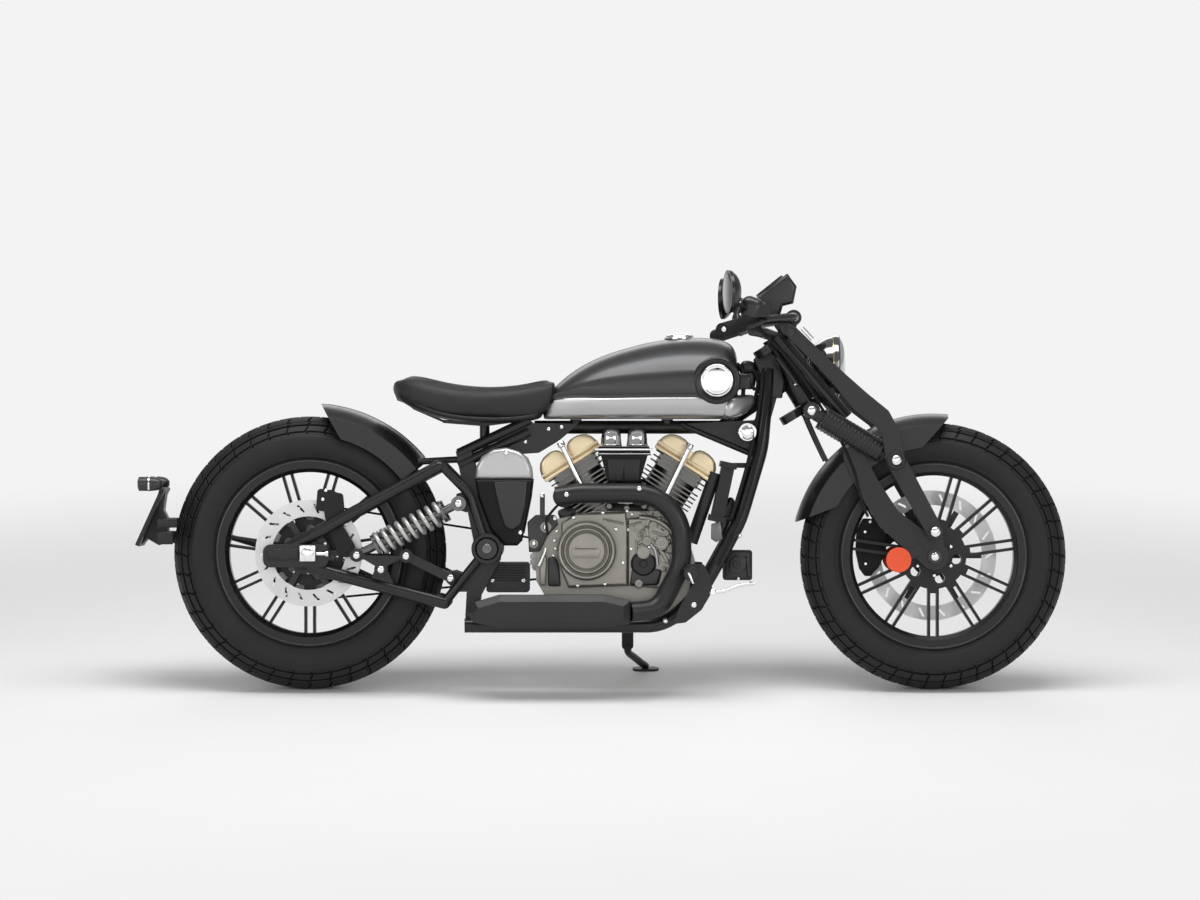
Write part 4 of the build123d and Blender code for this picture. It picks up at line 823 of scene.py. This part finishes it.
boltHeads("rearBolts", "chassis", [
    (-707.9, 478.4, 4.8, 4), (-715.2, 456.7, 4.8, 4), (-662.1, 396.4, 5, 4)], "button")
boltHeads("forkBolts", "fork", [
    (417.5, 733.8, 6, 6), (454, 669, 12.5, 9), (655, 551, 13, 9), (748, 380, 13, 8), (750, 320, 11, 7)], "dome",
    sides=(-1, 1))
boltHeads("caliperBolts", "fork", [
    (588.6, 377.2, 5, 5), (600.7, 401.3, 5, 5), (590, 300, 5, 5)], sides=(-1, 1))
print("bolts seated")


# Wheels: disc bolts and the bright line on the rims' edges
wheelTrim = {"front": {"centre": (750.0, 320.0), "body": "front_wheel", "disc": -66.0, "bolt": 46.0, "edge": 55.6},
             "rear": {"centre": (-750.0, 328.0), "body": "rear_wheel", "disc": -87.0, "bolt": 46.0, "edge": 65.6}}
rimLine = [(-2.2, 221.6), (0, 222.6), (0.4, 222.2), (0.4, 219.5), (-2, 218)]
for which, spec in wheelTrim.items():
    cx, cz = spec["centre"]
    turns = [radians(60 * i + 30) for i in range(6)]
    places = [axisFrame((cx + spec["bolt"] * cos(turn), spec["disc"], cz + spec["bolt"] * sin(turn)), (0, -1, 0))
              for turn in turns]
    button = [(a * 3.5, share * 4.6) for a, share in boltShapes["button"]]
    turned(which + "DiscBolts", spec["body"], "zinc_steel", button, places, ["boltSteel"], steps=16)
    bm = bmesh.new()
    for side in (1, -1):
        line = [(side * (spec["edge"] + out), r) for out, r in rimLine]
        lathe(bm, line, axisFrame((cx, 0, cz), (0, 1, 0)), steps=128, close=True)
    piece(bm, which + "RimEdges", spec["body"], "zinc_steel", ["rimEdge"], angle=60)


# Front end: headlight and mirror glasses
lamp = {
    "place": axisFrame((540.0, 0, 777.0), (-1, 0, 0)),
    "shell": [(15, 66), (14, 70), (16, 73.5), (20, 75), (28, 75), (31, 74), (33, 73), (46, 69.5), (62, 62), (78, 49),
              (87, 34), (91, 18), (92, 0)],
    "band": [(30, 72), (30, 75), (32.6, 75), (32.6, 72)],
    "glass": [(16, 69), (12, 65), (6, 54), (2.4, 38), (0.6, 20), (0.2, 0)],
}
lampShell = turned("lampShell", "fork", "lamp_chrome", lamp["shell"], [lamp["place"]], ["lampBlack"], 60, steps=72)
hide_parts("headlight")
turned("lampBand", "fork", "lamp_chrome", lamp["band"], [lamp["place"]], ["brassLine"], 60, steps=72, close=True)
turned("lampGlass", "fork", "lamp_chrome", lamp["glass"], [lamp["place"]], ["lampGlass"], 60, steps=72)
turned("lampPivots", "fork", "zinc_steel", [(0, 0), (0, 7), (10, 7), (13, 5), (13, 0)], outward(60, (500, 777)),
       ["boltSteel"], 50, steps=24)

mirrors = {"centre": (248.0, 330.0, 948.0), "toe": radians(12.0), "radius": 47.0}
x, y, z = mirrors["centre"]
places = [axisFrame((x, side * y, z), (-cos(mirrors["toe"]), side * sin(mirrors["toe"]), 0)) for side in (1, -1)]
turned("mirrorFaces", "fork", "mirror_glass", [(0.4, 0), (0.5, mirrors["radius"] - 3), (-0.6, mirrors["radius"])],
       places, ["mirrorSilver"], 60, steps=64)
print("front end built")

# Fuel cap, neck caps and the clutch cover's turned rings
cap = turned("tankCap", "chassis", "chrome_trim", [
    (0, 0), (0, 37), (3, 38), (5, 37), (6, 33), (9, 32.5), (12, 29), (14, 22), (15, 10), (15, 0)],
    [axisFrame((140, 0, 840.5), (0, 0, 1))], steps=56)
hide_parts("fuel_cap")

# the neck's caps stand out as far as the cradle tube in front of them
neckDisc = {"x": 302, "tube": 336, "z": 618}
bm = bmesh.new()
for side in (1, -1):
    y = surfaceY(["frame_cradle", "frame_spine"], neckDisc["tube"], neckDisc["z"], side)
    place = axisFrame((neckDisc["x"], y, neckDisc["z"]), (0, side, 0))
    lathe(bm, [(-30, 0), (-30, 21), (-1, 21), (-1, 0)], place, steps=32)
    lathe(bm, [(-1, 0), (-1, 23), (3, 23), (5, 21), (5, 17), (4, 15.5), (6.5, 13), (7.5, 6), (7.5, 0)], place)
piece(bm, "neckDiscs", "chassis", "chrome_trim")

clutchCap = {
    "x": -84.0, "z": 334.0, "bars": ((341.5, 52), (317, 60)),
    "line": [(-2, 71), (3, 71), (10, 69.5), (14, 66), (13, 61.5), (6, 59.6), (5, 56.8), (10, 55.6), (14.5, 53),
             (14.5, 50.5), (10, 48.8), (6.5, 47), (7.4, 44.5), (10, 42), (11.6, 30), (12, 0)],
}
y = surfaceY(["engine_covers"], clutchCap["x"] + 60, clutchCap["z"])
turned("clutchRings", "chassis", "engine_grey", clutchCap["line"],
       [axisFrame((clutchCap["x"], y, clutchCap["z"]), (0, -1, 0))], angle=28, steps=96)
bm = bmesh.new()
for z, wide in clutchCap["bars"]:
    block(bm, (clutchCap["x"] - 2, y - 12.6, z), (wide, 5, 2.8), bevel=1.2)
block(bm, (clutchCap["x"] - 2, y - 11, 329.5), (68, 5, 20), bevel=1.8)
piece(bm, "clutchBand", "chassis", "engine_grey")

# raised lips, ribs and small castings on the right side of the engine
castings = {
    # x, z, radius, height, collar
    "bosses": [(75, 394, 11, 16, 7), (58, 401, 10, 12, 6), (106, 377, 10, 14, 6), (96, 352, 17, 14, 12),
               (118, 340, 12, 10, 8), (60, 357, 12, 18, 8), (88, 408, 8, 8, 5), (124, 372, 8, 8, 5),
               (41, 254, 10, 12, 7), (52, 420, 9, 10, 5),
               (70, 422, 7, 12, 4), (112, 356, 6, 18, 3), (80, 340, 8, 12, 5), (30, 388, 8, 8, 4), (44, 372, 6, 12, 3),
               (116, 300, 9, 8, 5), (100, 290, 7, 10, 4), (128, 354, 6, 10, 3)],
    "ribs": [(92, 402, 46, 6, -38), (112, 396, 40, 6, -38), (104, 318, 34, 8, 62), (128, 322, 40, 8, 66),
             (62, 372, 38, 7, 80), (84, 376, 26, 6, 20), (-20, 404, 52, 5, 12), (30, 398, 34, 5, -16),
             (72, 406, 30, 5, 10), (98, 364, 24, 5, 70), (50, 384, 26, 5, -30), (120, 384, 26, 5, 50),
             (86, 348, 22, 5, -10), (108, 332, 26, 5, 20), (36, 340, 40, 5, 85)],
}
bm = bmesh.new()
for x, z, r, high, collar in castings["bosses"]:
    place = axisFrame((x, surfaceY(["crankcase", "engine_covers"], x, z), z), (0, -1, 0))
    lathe(bm, [(-3, 0), (-3, r), (high * 0.5, r), (high * 0.6, r - 1.5), (high * 0.62, collar), (high, collar),
               (high, collar * 0.5), (high * 0.8, collar * 0.45), (high * 0.8, 0)], place, steps=28)
for x, z, long, wide, turn in castings["ribs"]:
    y = surfaceY(["crankcase", "engine_covers"], x, z)
    block(bm, (x, y - 2, z), (long, 9, wide), turn=turn, bevel=2.4, segments=3)
piece(bm, "engineCastings", "chassis", "engine_grey", angle=35)
hose("coolantPipe", [(44, -96, 414), (70, -104, 412), (104, -106, 398), (128, -104, 368), (130, -100, 330)], 6.5,
     "chassis", "engine_grey")
hose("oilLine", [(40, -100, 350), (52, -110, 362), (70, -110, 350), (84, -108, 330), (86, -104, 300)], 4.0,
     "chassis", "engine_grey", "zincSteel")
hose("gearLever", [(-182.6, -112, 340), (-186, -116, 322), (-199, -118, 298)], 4.5, "chassis", "chrome_trim",
     "boltSteel")
hose("caseWire", [(-150, -100, 446), (-172, -104, 424), (-184, -106, 400), (-176, -106, 372)], 3.2, "chassis",
     "belt_rubber")
print("castings added")


# Side covers: bulged silver caps and a raised panel below
sideCover = {
    "inner": 77.6, "outer": 104.5, "panelSpot": (-262, 450),
    "cap": [(-351, 506), (-213, 506), (-216, 532), (-226, 556), (-246, 572), (-276, 581), (-308, 577), (-335, 560),
            (-348, 536)],
    "panel": [(-306, 499), (-226, 499), (-231, 440), (-243, 396), (-262, 384), (-280, 392), (-294, 440)],
}
bm = bmesh.new()
for side in (1, -1):
    middle = side * (sideCover["inner"] + sideCover["outer"]) / 2
    slab(bm, sideCover["cap"], middle, sideCover["outer"] - sideCover["inner"], 11, 5, rims=True)
caps = piece(bm, "coverCaps", "chassis", "silver_paint", angle=50)
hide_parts("side_cover_caps")
bm = bmesh.new()
for side in (1, -1):
    y = surfaceY(["side_covers"], *sideCover["panelSpot"], side)
    slab(bm, sideCover["panel"], y + side * 1.5, 7, 3, 3, rims=True)
piece(bm, "coverPanels", "chassis", "box_black", ["panelGrey"], angle=50)


# Swingarm pivot rings, axle blocks' chrome squares and adjusters
pivot = {"spot": (-322, 339), "ring": [(-16, 37), (1, 37), (4, 35), (4, 29), (1, 26.5), (-6, 25), (-16, 25)],
         "plug": [(-1, 0), (-1, 12), (3, 12), (4.5, 10.5), (4.5, 5), (3, 4), (3, 0)]}
places = outward(["swingarm_bolts"], pivot["spot"])
turned("pivotRings", "chassis", "frame_black", pivot["ring"], places, steps=64, close=True)
turned("pivotPlugs", "chassis", "damper_steel", pivot["plug"], places, steps=32)
axleBlock = {"axle": (-750, 328), "square": (38, 5, 38), "adjuster": (-729, 327), "armSpot": (-712, 325),
             "guide": [(-842, 312), (-772, 312), (-772, 338), (-842, 338), (-849, 325)], "guideSpot": (-812, 325)}
bm = bmesh.new()
for side in (1, -1):
    x, z = axleBlock["axle"]
    y = surfaceY(["swingarm_bolts"], x, z, side)
    block(bm, (x, y + side * 0.5, z), axleBlock["square"], bevel=2.2, segments=3)
    lathe(bm, [(0, 0), (0, 15), (4, 15), (6, 13), (7, 6), (7, 0)], axisFrame((x, y + side * 2, z), (0, side, 0)),
          steps=40)
    x, z = axleBlock["adjuster"]
    place = axisFrame((x, surfaceY(["swingarm"], *axleBlock["armSpot"], side) + side * 3.4, z), (1, 0, 0))
    lathe(bm, [(0, 0), (0, 4.2), (22, 4.2), (22, 7), (28, 7), (28, 0)], place, steps=20)
piece(bm, "axleSquares", "chassis", "chrome_trim", ["boltSteel"])
bm = bmesh.new()
for side in (1, -1):
    edge = surfaceY(["swingarm"], *axleBlock["guideSpot"], side)
    slab(bm, axleBlock["guide"], edge + side * 1, 5, 2.2, 3, rims=True)
piece(bm, "axleGuides", "chassis", "frame_black")


# Springs: coils wound round the rear struts and the front shocks
springs = {"rear": {"start": (-434, 425), "end": (-585, 348), "y": 128.0, "radius": 26.0, "wire": 10.5, "turns": 8.5,
                    "stepsPerTurn": 26, "facets": 10},
           "front": {"start": (484, 651), "end": (630, 565), "y": 115.5, "radius": 25.4, "wire": 4.4, "turns": 18,
                     "stepsPerTurn": 20, "facets": 6}}


def coils(name, body, slotName, spec):
    (x0, z0), (x1, z1) = spec["start"], spec["end"]
    way = mm(x1 - x0, 0, z1 - z0)
    steps = int(spec["turns"] * spec["stepsPerTurn"])
    bm = bmesh.new()
    for side in (1, -1):
        place = axisFrame((x0, side * spec["y"], z0), way)
        wireEnd = place @ Matrix.Translation(mm(spec["radius"], 0, 0)) @ Matrix.Rotation(pi / 2, 4, "X")
        ring = bmesh.ops.create_circle(bm, cap_ends=False, segments=spec["facets"], radius=spec["wire"] / 2000,
                                       matrix=wireEnd)
        edges = list({edge for vert in ring["verts"] for edge in vert.link_edges})
        made = bmesh.ops.spin(bm, geom=ring["verts"] + edges, cent=place.translation, axis=way.normalized(),
                              dvec=way / steps, angle=2 * pi * spec["turns"], steps=steps, use_merge=False,
                              use_duplicate=False)
        ends = [item for item in made["geom_last"] if isinstance(item, bmesh.types.BMEdge)]
        bmesh.ops.contextual_create(bm, geom=edges)
        bmesh.ops.contextual_create(bm, geom=ends)
    return piece(bm, name, body, slotName, angle=None)


rearCoils = coils("rearCoils", "chassis", "spring_silver", springs["rear"])
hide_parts("rear_springs")
coils("frontCoils", "fork", "shock_black", springs["front"])
print("springs wound")


# Tail: bullet indicators with a bright band, plate housing and its two arms
tail = {
    "lamps": [axisFrame((-1158, side * 118, 494), (1, 0, 0)) for side in (1, -1)],
    "shell": [(3, 0), (3, 14), (4, 17), (34, 17), (46, 15.5), (55, 12), (60, 6), (60, 0)],
    "band": [(26, 16.5), (26, 18), (30, 18), (30, 16.5)],
    "lens": [(3.4, 14.6), (1.6, 13), (0.6, 8), (0.3, 0)],
    "housing": [(-1112, 478), (-1096, 474), (-1102, 430), (-1092, 410), (-1092, 352), (-1112, 346), (-1140, 362),
                (-1152, 348), (-1150, 362), (-1122, 440)],
}
shells = turned("indicatorShells", "chassis", "box_black", tail["shell"], tail["lamps"], ["darkSteel"], 45, steps=36)
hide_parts("rear_indicators")
turned("indicatorBands", "chassis", "chrome_trim", tail["band"], tail["lamps"], angle=45, steps=36, close=True)
turned("indicatorLenses", "chassis", "red_lens", tail["lens"], tail["lamps"], angle=60, steps=36)
bm = bmesh.new()
slab(bm, tail["housing"], 0, 92, 4, 3, rims=True)
for side in (1, -1):
    block(bm, (-1088, side * 98, 400), (48, 14, 22), bevel=3)
    block(bm, (-1093, side * 98, 364), (38, 14, 30), bevel=3)
piece(bm, "tailHousing", "chassis", "box_black", angle=45)

# raised strip along the middle of the rear fender
strip = {"axle": (-750, 328), "radius": 361.4, "half": 19.0, "from": 40.0, "to": 83.0, "steps": 22}
bm = bmesh.new()
rings = []
for i in range(strip["steps"] + 1):
    turn = radians(strip["from"] + (strip["to"] - strip["from"]) * i / strip["steps"])
    ring = []
    for y, r in ((-strip["half"], -4), (-strip["half"], 1.2), (-strip["half"] + 4, 3), (strip["half"] - 4, 3),
                 (strip["half"], 1.2), (strip["half"], -4)):
        reach = strip["radius"] + r - 3 - abs(y) * 0.06
        ring.append(mm(strip["axle"][0] + reach * cos(turn), y, strip["axle"][1] + reach * sin(turn)))
    rings.append(ring)
lofted(bm, rings)
piece(bm, "fenderStrip", "chassis", "fender_black")
print("tail built")


# Handlebar and head: instrument, switch housings, bar ends, rods and cables
instrument = {"outline": [(318, 936), (398, 1000), (421, 968), (413, 928), (388, 922), (378, 890), (344, 886),
                          (338, 916)], "wide": 96.0, "ticks": 25, "sweep": (-210, 240), "needle": 150}
bm = bmesh.new()
slab(bm, instrument["outline"], 0, instrument["wide"], 9, 4, rims=True)
dial = piece(bm, "dialBody", "fork", "instrument_black", angle=30)
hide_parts("instrument")
# the dial sits in the middle of the outline's first edge
(lowX, lowZ), (highX, highZ) = instrument["outline"][:2]
dialFrame = axisFrame(((lowX + highX) / 2 - 1.6, 0, (lowZ + highZ) / 2 + 2), (lowZ - highZ, 0, highX - lowX))
turned("dialRing", "fork", "instrument_black", [(-6, 40), (1.5, 40), (3, 38.5), (3, 36), (0.6, 34.5), (0.4, 0)],
       [dialFrame], steps=64)
bm = bmesh.new()
first, sweep = instrument["sweep"]
for i in range(instrument["ticks"]):
    long = 5.0 if i % 4 == 0 else 3.0
    turn = radians(first + sweep * i / (instrument["ticks"] - 1))
    tick = (dialFrame @ Matrix.Rotation(turn, 4, "Z")
            @ Matrix.Translation(mm(31 - long / 2, 0, 0.7)) @ Matrix.Diagonal((long / 1000, 0.0008, 0.0003, 1)))
    bmesh.ops.create_cube(bm, size=1.0, matrix=tick)
needle = (dialFrame @ Matrix.Rotation(radians(instrument["needle"]), 4, "Z") @ Matrix.Translation(mm(11, 0, 1.0))
          @ Matrix.Diagonal((0.026, 0.0011, 0.0004, 1)))
bmesh.ops.create_cube(bm, size=1.0, matrix=needle)
piece(bm, "dialMarks", "fork", "silver_paint", angle=0)

grip = {"inner": (310, 262, 880), "outer": (237, 390, 857), "end": (238, 858), "turn": 22,
        "plug": [(-4, 0), (-4, 6.5), (-0.2, 6.5), (0.2, 5.5), (0.2, 0)],
        "bolt": [(0, 0), (0, 5), (6, 5), (8, 3), (8, 0)]}
bm = bmesh.new()
for side in (1, -1):
    block(bm, (304, side * 262, 905), (56, 54, 66), turn=grip["turn"], bevel=20, segments=6)
    block(bm, (326, side * 232, 908), (36, 30, 40), turn=grip["turn"], bevel=12, segments=5)
piece(bm, "switchHousings", "fork", "instrument_black")
bm = bmesh.new()
block(bm, (281, -284, 931), (10, 12, 9), turn=30, bevel=2)
piece(bm, "stopSwitch", "fork", "red_lens")
# plugs in the grips' ends, and a pivot bolt by each switch housing
bm = bmesh.new()
for side in (1, -1):
    (x0, y0, z0), (x1, y1, z1) = grip["inner"], grip["outer"]
    x, z = grip["end"]
    place = axisFrame((x, surfaceY(["grips"], x, z, side), z), (x1 - x0, side * (y1 - y0), z1 - z0))
    lathe(bm, grip["plug"], place, steps=24)
    lathe(bm, grip["bolt"], axisFrame((284, side * 278, 896), (-0.4, side, 0)), steps=20)
piece(bm, "barEnds", "fork", "zinc_steel", ["boltSteel"])

hose("clampRod", [(430, -150, 866), (442, -150, 853), (455, -150, 839)], 5.0, "fork", "chrome_trim", "boltSteel")
for side, word in ((-1, "Right"), (1, "Left")):
    hose("forkStay" + word, [(441, side * 78, 660), (463, side * 78, 606), (492, side * 74, 548)], 4.5, "fork",
         "frame_black")
    hose("steadyRod" + word, [(372, side * 92, 796), (394, side * 92, 766), (417, side * 92, 735)], 6.0, "fork",
         "frame_black")
# cables ride on the body that they are clipped to: each with its radius and route
cables = {
    "fork": {
        "brakeHose": (3.6, [(300, -236, 884), (340, -170, 850), (392, -120, 800), (438, -98, 740), (470, -94, 690),
                            (520, -92, 610), (560, -90, 520), (574, -88, 450), (590, -88, 415)]),
        "clutchCable": (3.4, [(300, 236, 884), (342, 160, 846), (374, 84, 846), (396, 44, 842)]),
        "throttleCable": (3.4, [(318, -214, 880), (340, -130, 850), (370, -72, 846), (396, -36, 842)]),
    },
    "chassis": {
        "frameCable": (4.2, [(352, -58, 772), (350, -64, 700), (338, -68, 620), (312, -78, 500), (280, -88, 400),
                             (230, -100, 300)]),
        "frameHose": (5.0, [(340, -54, 764), (334, -58, 700), (320, -62, 620), (296, -72, 510), (262, -84, 410)]),
    },
}
for body, routes in cables.items():
    for name, (radius, points) in routes.items():
        hose(name, points, radius, body, "belt_rubber")

# clamps and a reservoir over the top yoke
bm = bmesh.new()
slab(bm, [(298, 864), (318, 870), (346, 868), (380, 856), (378, 847), (336, 845), (306, 850)], -58, 40, 4, 4)
slab(bm, [(316, 868), (346, 870), (380, 857), (376, 847), (334, 846)], 52, 34, 4, 4)
for side in (-1, 1):
    block(bm, (392, side * 66, 872), (34, 26, 40), turn=-34, bevel=6, segments=4)
piece(bm, "topClamps", "fork", "instrument_black")

# wiring between the tank and the steering head
neckWires = {
    "A": [(278, -22, 782), (288, -26, 776), (294, -28, 750), (292, -28, 716), (290, -26, 680)],
    "B": [(282, -20, 770), (296, -26, 762), (320, -30, 768), (330, -34, 742), (322, -36, 702), (314, -36, 664)],
    "C": [(278, 20, 780), (288, 24, 772), (296, 26, 742), (294, 26, 706), (290, 24, 672)],
    "D": [(284, -10, 744), (298, -20, 730), (310, -28, 736), (320, -34, 720)],
}
for word, points in neckWires.items():
    hose("neckWire" + word, points, 4.6, "chassis", "belt_rubber")

# castings that join the downtubes to the steering head
bm = bmesh.new()
for side in (1, -1):
    slab(bm, [(318, 792), (342, 826), (372, 800), (392, 742), (386, 700), (356, 700), (336, 742)], side * 36, 20, 4, 3,
         rims=True)
piece(bm, "neckCastings", "chassis", "frame_black")
print("head built")


# eyes round the girder's lower bolts
girderEye = {"spot": (655, 551), "line": [(-14, 0), (-14, 22), (-1, 22), (2, 20.5), (2, 16), (0, 14), (0, 0)]}
turned("girderEyes", "fork", "girder_grey", girderEye["line"], outward(["fork_bolts"], girderEye["spot"]), steps=40)

# dark castings and pipes behind the header, between and beside the cylinders; the dark slab low by the case's rear
# edge is painted shade, and another dark slab sits low by the oil filter
bm = bmesh.new()
block(bm, (0, -36, 424), (150, 30, 46), bevel=9)
block(bm, (8, -34, 484), (112, 24, 44), bevel=7)
block(bm, (-122, -40, 424), (60, 26, 34), turn=-20, bevel=8)
slab(bm, [(222, 372), (246, 362), (262, 402), (274, 452), (262, 466), (240, 436), (226, 404)], -22, 58, 10, 4)
slab(bm, [(286, 786), (300, 792), (322, 786), (328, 764), (320, 722), (300, 720), (290, 752)], 0, 34, 8, 3)
# painted shade: a dark slab where the case's rear edge lies in shadow
slab(bm, [(-176, 249), (-146, 249), (-150, 300), (-158, 318), (-176, 318)], -88, 18, 4, 3)
slab(bm, [(18, 250), (88, 250), (98, 286), (84, 292), (24, 292)], -92, 26, 7, 4)
piece(bm, "darkCastingsAndShade", "chassis", "frame_black", ["darkSteel"])
bm = bmesh.new()
slab(bm, [(-196, 250), (-182, 250), (-179, 318), (-187, 324), (-196, 318)], -94, 20, 4, 3)
for step in range(3):
    lathe(bm, [(-2, 0), (-2, 8), (9, 8), (11, 6), (11, 0)],
          axisFrame((-30 + step * 42, -52, 440 - 5 * (step % 2)), (0, -1, 0)), steps=24)
piece(bm, "paleCastings", "chassis", "engine_grey")

# ribs on the battery box and the slim lamp under the seat
ribs = {"from": 262.0, "step": 6.0, "count": 7, "x": -272.0, "long": 84.0}
bm = bmesh.new()
for i in range(ribs["count"]):
    z = ribs["from"] + i * ribs["step"]
    y = surfaceY(["battery_box"], ribs["x"], z)
    block(bm, (ribs["x"], y - 0.6, z), (ribs["long"], 3, 2.4), bevel=0.9)
piece(bm, "boxRibs", "chassis", "box_black")
bm = bmesh.new()
slab(bm, [(-547, 714), (-539, 694), (-513, 684), (-506, 691), (-528, 708)], 0, 104, 2.5, 3, rims=True)
strip = piece(bm, "tailStrip", "chassis", "red_lens", angle=45)
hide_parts("tail_lamp")

# plates and a lug on the face of the front box
bm = bmesh.new()
faceY = surfaceY(["front_box"], 280, 300)
slab(bm, [(250, 268), (300, 268), (309, 284), (309, 326), (296, 331), (262, 331), (250, 312)], faceY - 1, 6, 2.2, 3)
slab(bm, [(258, 280), (286, 276), (300, 292), (300, 316), (272, 322), (258, 306)], faceY - 5, 7, 2.6, 3)
block(bm, (304, faceY - 6, 296), (7, 8, 50), turn=-6, bevel=1.6)
lathe(bm, [(-4, 0), (-4, 9), (4, 9), (6, 7.5), (6, 3), (4, 2), (4, 0)], axisFrame((276, faceY - 6, 300), (0, -1, 0)),
      steps=28)
piece(bm, "frontBoxFace", "chassis", "box_black", ["panelGrey"])


# Foot controls on the right: brake pedal with its rod and ends, and a tab for the hoses
hose("pedalRod", [(217, -176, 236), (242, -176, 238), (262, -178, 246), (282, -180, 254), (309, -182, 257)], 4.2,
     "chassis", "chrome_trim", "boltSteel")
bm = bmesh.new()
block(bm, (310, -186, 258), (14, 40, 8), bevel=2.5)
lathe(bm, [(0, 0), (0, 8), (10, 8), (12, 6), (12, 0)], axisFrame((217, -170, 236), (0, -1, 0)), steps=24)
pegY = surfaceY(["foot_controls"], 163, 272)
block(bm, (163, pegY - 0.4, 272), (5, 3, 29), turn=-24, bevel=1)
piece(bm, "pedalEnds", "chassis", "chrome_trim", ["boltSteel"])
bm = bmesh.new()
slab(bm, [(214, 398), (236, 404), (242, 362), (226, 354), (214, 362)], -92, 6, 2, 2)
piece(bm, "hoseTab", "chassis", "damper_steel")
print("foot controls built")


# Floor, backdrop and light: pale floor that fades into an even pale backdrop for the camera
studio = {
    "floor": 0.82, "backdrop": (0.896, 0.896, 0.896, 1), "size": 60.0, "fadeStart": 1.5, "fadeEnd": 3.4, "world": 0.32,
    # place, target, size and power of each lamp
    "lamps": {
        "topBox": ((0.0, -0.5, 3.2), (0.0, -0.1, 0.5), (3.4, 1.2), 85.0),
        "frontBox": ((2.6, -3.2, 1.9), (0.1, 0.0, 0.5), (1.8, 1.4), 24.0),
        "rearBox": ((-2.8, -2.8, 1.7), (-0.2, 0.0, 0.5), (1.8, 1.4), 24.0),
        "frontPanel": ((0.0, -4.6, 1.5), (0.0, 0.0, 0.5), (5.4, 2.4), 36.0),
        "farBox": ((0.0, 3.2, 2.0), (0.0, 0.0, 0.6), (3.0, 1.4), 24.0),
    },
}


def seenOrMirrored(tree):
    # 1 for rays from the camera, from a mirror-like surface or through glass
    rays = add(tree, "LightPath", {}).outputs
    seen = add(tree, "Math", {0: rays["Is Camera Ray"], 1: rays["Is Glossy Ray"]}, operation="MAXIMUM")
    return add(tree, "Math", {0: seen, 1: rays["Is Transmission Ray"]}, operation="MAXIMUM")


def floorFinish():
    mat = bpy.data.materials.new("paleFloor")
    mat.use_nodes = True
    tree = mat.node_tree
    shader = tree.nodes["Principled BSDF"]
    place = add(tree, "TexCoord", {}).outputs["Object"]
    noise = add(tree, "TexNoise", {"Vector": place, "Scale": 3.0, "Detail": 2.0})
    tint = add(tree, "MapRange", {"Value": noise, "To Min": studio["floor"] - 0.01, "To Max": studio["floor"] + 0.01})
    feed(tree, shader, {"Base Color": tint, "Roughness": 0.85})
    away = add(tree, "VectorMath", {0: place}, operation="LENGTH")
    fade = add(tree, "MapRange", {"Value": away.outputs["Value"], "From Min": studio["fadeStart"],
                                  "From Max": studio["fadeEnd"]}, interpolation_type="SMOOTHSTEP")
    share = add(tree, "Math", {0: fade, 1: seenOrMirrored(tree)}, operation="MULTIPLY")
    glow = add(tree, "Emission", {"Color": studio["backdrop"], "Strength": 1.0})
    mix = add(tree, "MixShader", {0: share, 1: shader, 2: glow})
    feed(tree, tree.nodes["Material Output"], {"Surface": mix})
    return mat


floorMesh = bmesh.new()
bmesh.ops.create_grid(floorMesh, x_segments=1, y_segments=1, size=studio["size"] / 2)
floorData = bpy.data.meshes.new("floor")
floorMesh.to_mesh(floorData)
floorMesh.free()
floor = bpy.data.objects.new("floor", floorData)
floorData.materials.append(floorFinish())
bpy.context.collection.objects.link(floor)

world = bpy.data.worlds.new("paleRoom")
bpy.context.scene.world = world
world.use_nodes = True
room = world.node_tree
lit = room.nodes["Background"]
feed(room, lit, {"Color": (1.0, 1.0, 1.0, 1), "Strength": studio["world"]})
seen = add(room, "Background", {"Color": studio["backdrop"], "Strength": 1.0})
rays = add(room, "LightPath", {})
choose = add(room, "MixShader", {0: rays.outputs["Is Camera Ray"], 1: lit, 2: seen})
feed(room, room.nodes["World Output"], {"Surface": choose})

for name, (place, target, size, power) in studio["lamps"].items():
    data = bpy.data.lights.new(name, "AREA")
    data.shape = "RECTANGLE"
    data.size, data.size_y = size
    data.energy = power
    softbox = bpy.data.objects.new(name, data)
    softbox.location = place
    softbox.rotation_euler = (Vector(target) - Vector(place)).to_track_quat("-Z", "Y").to_euler()
    bpy.context.collection.objects.link(softbox)
bpy.context.scene.view_settings.view_transform = "Standard"
print("studio set")
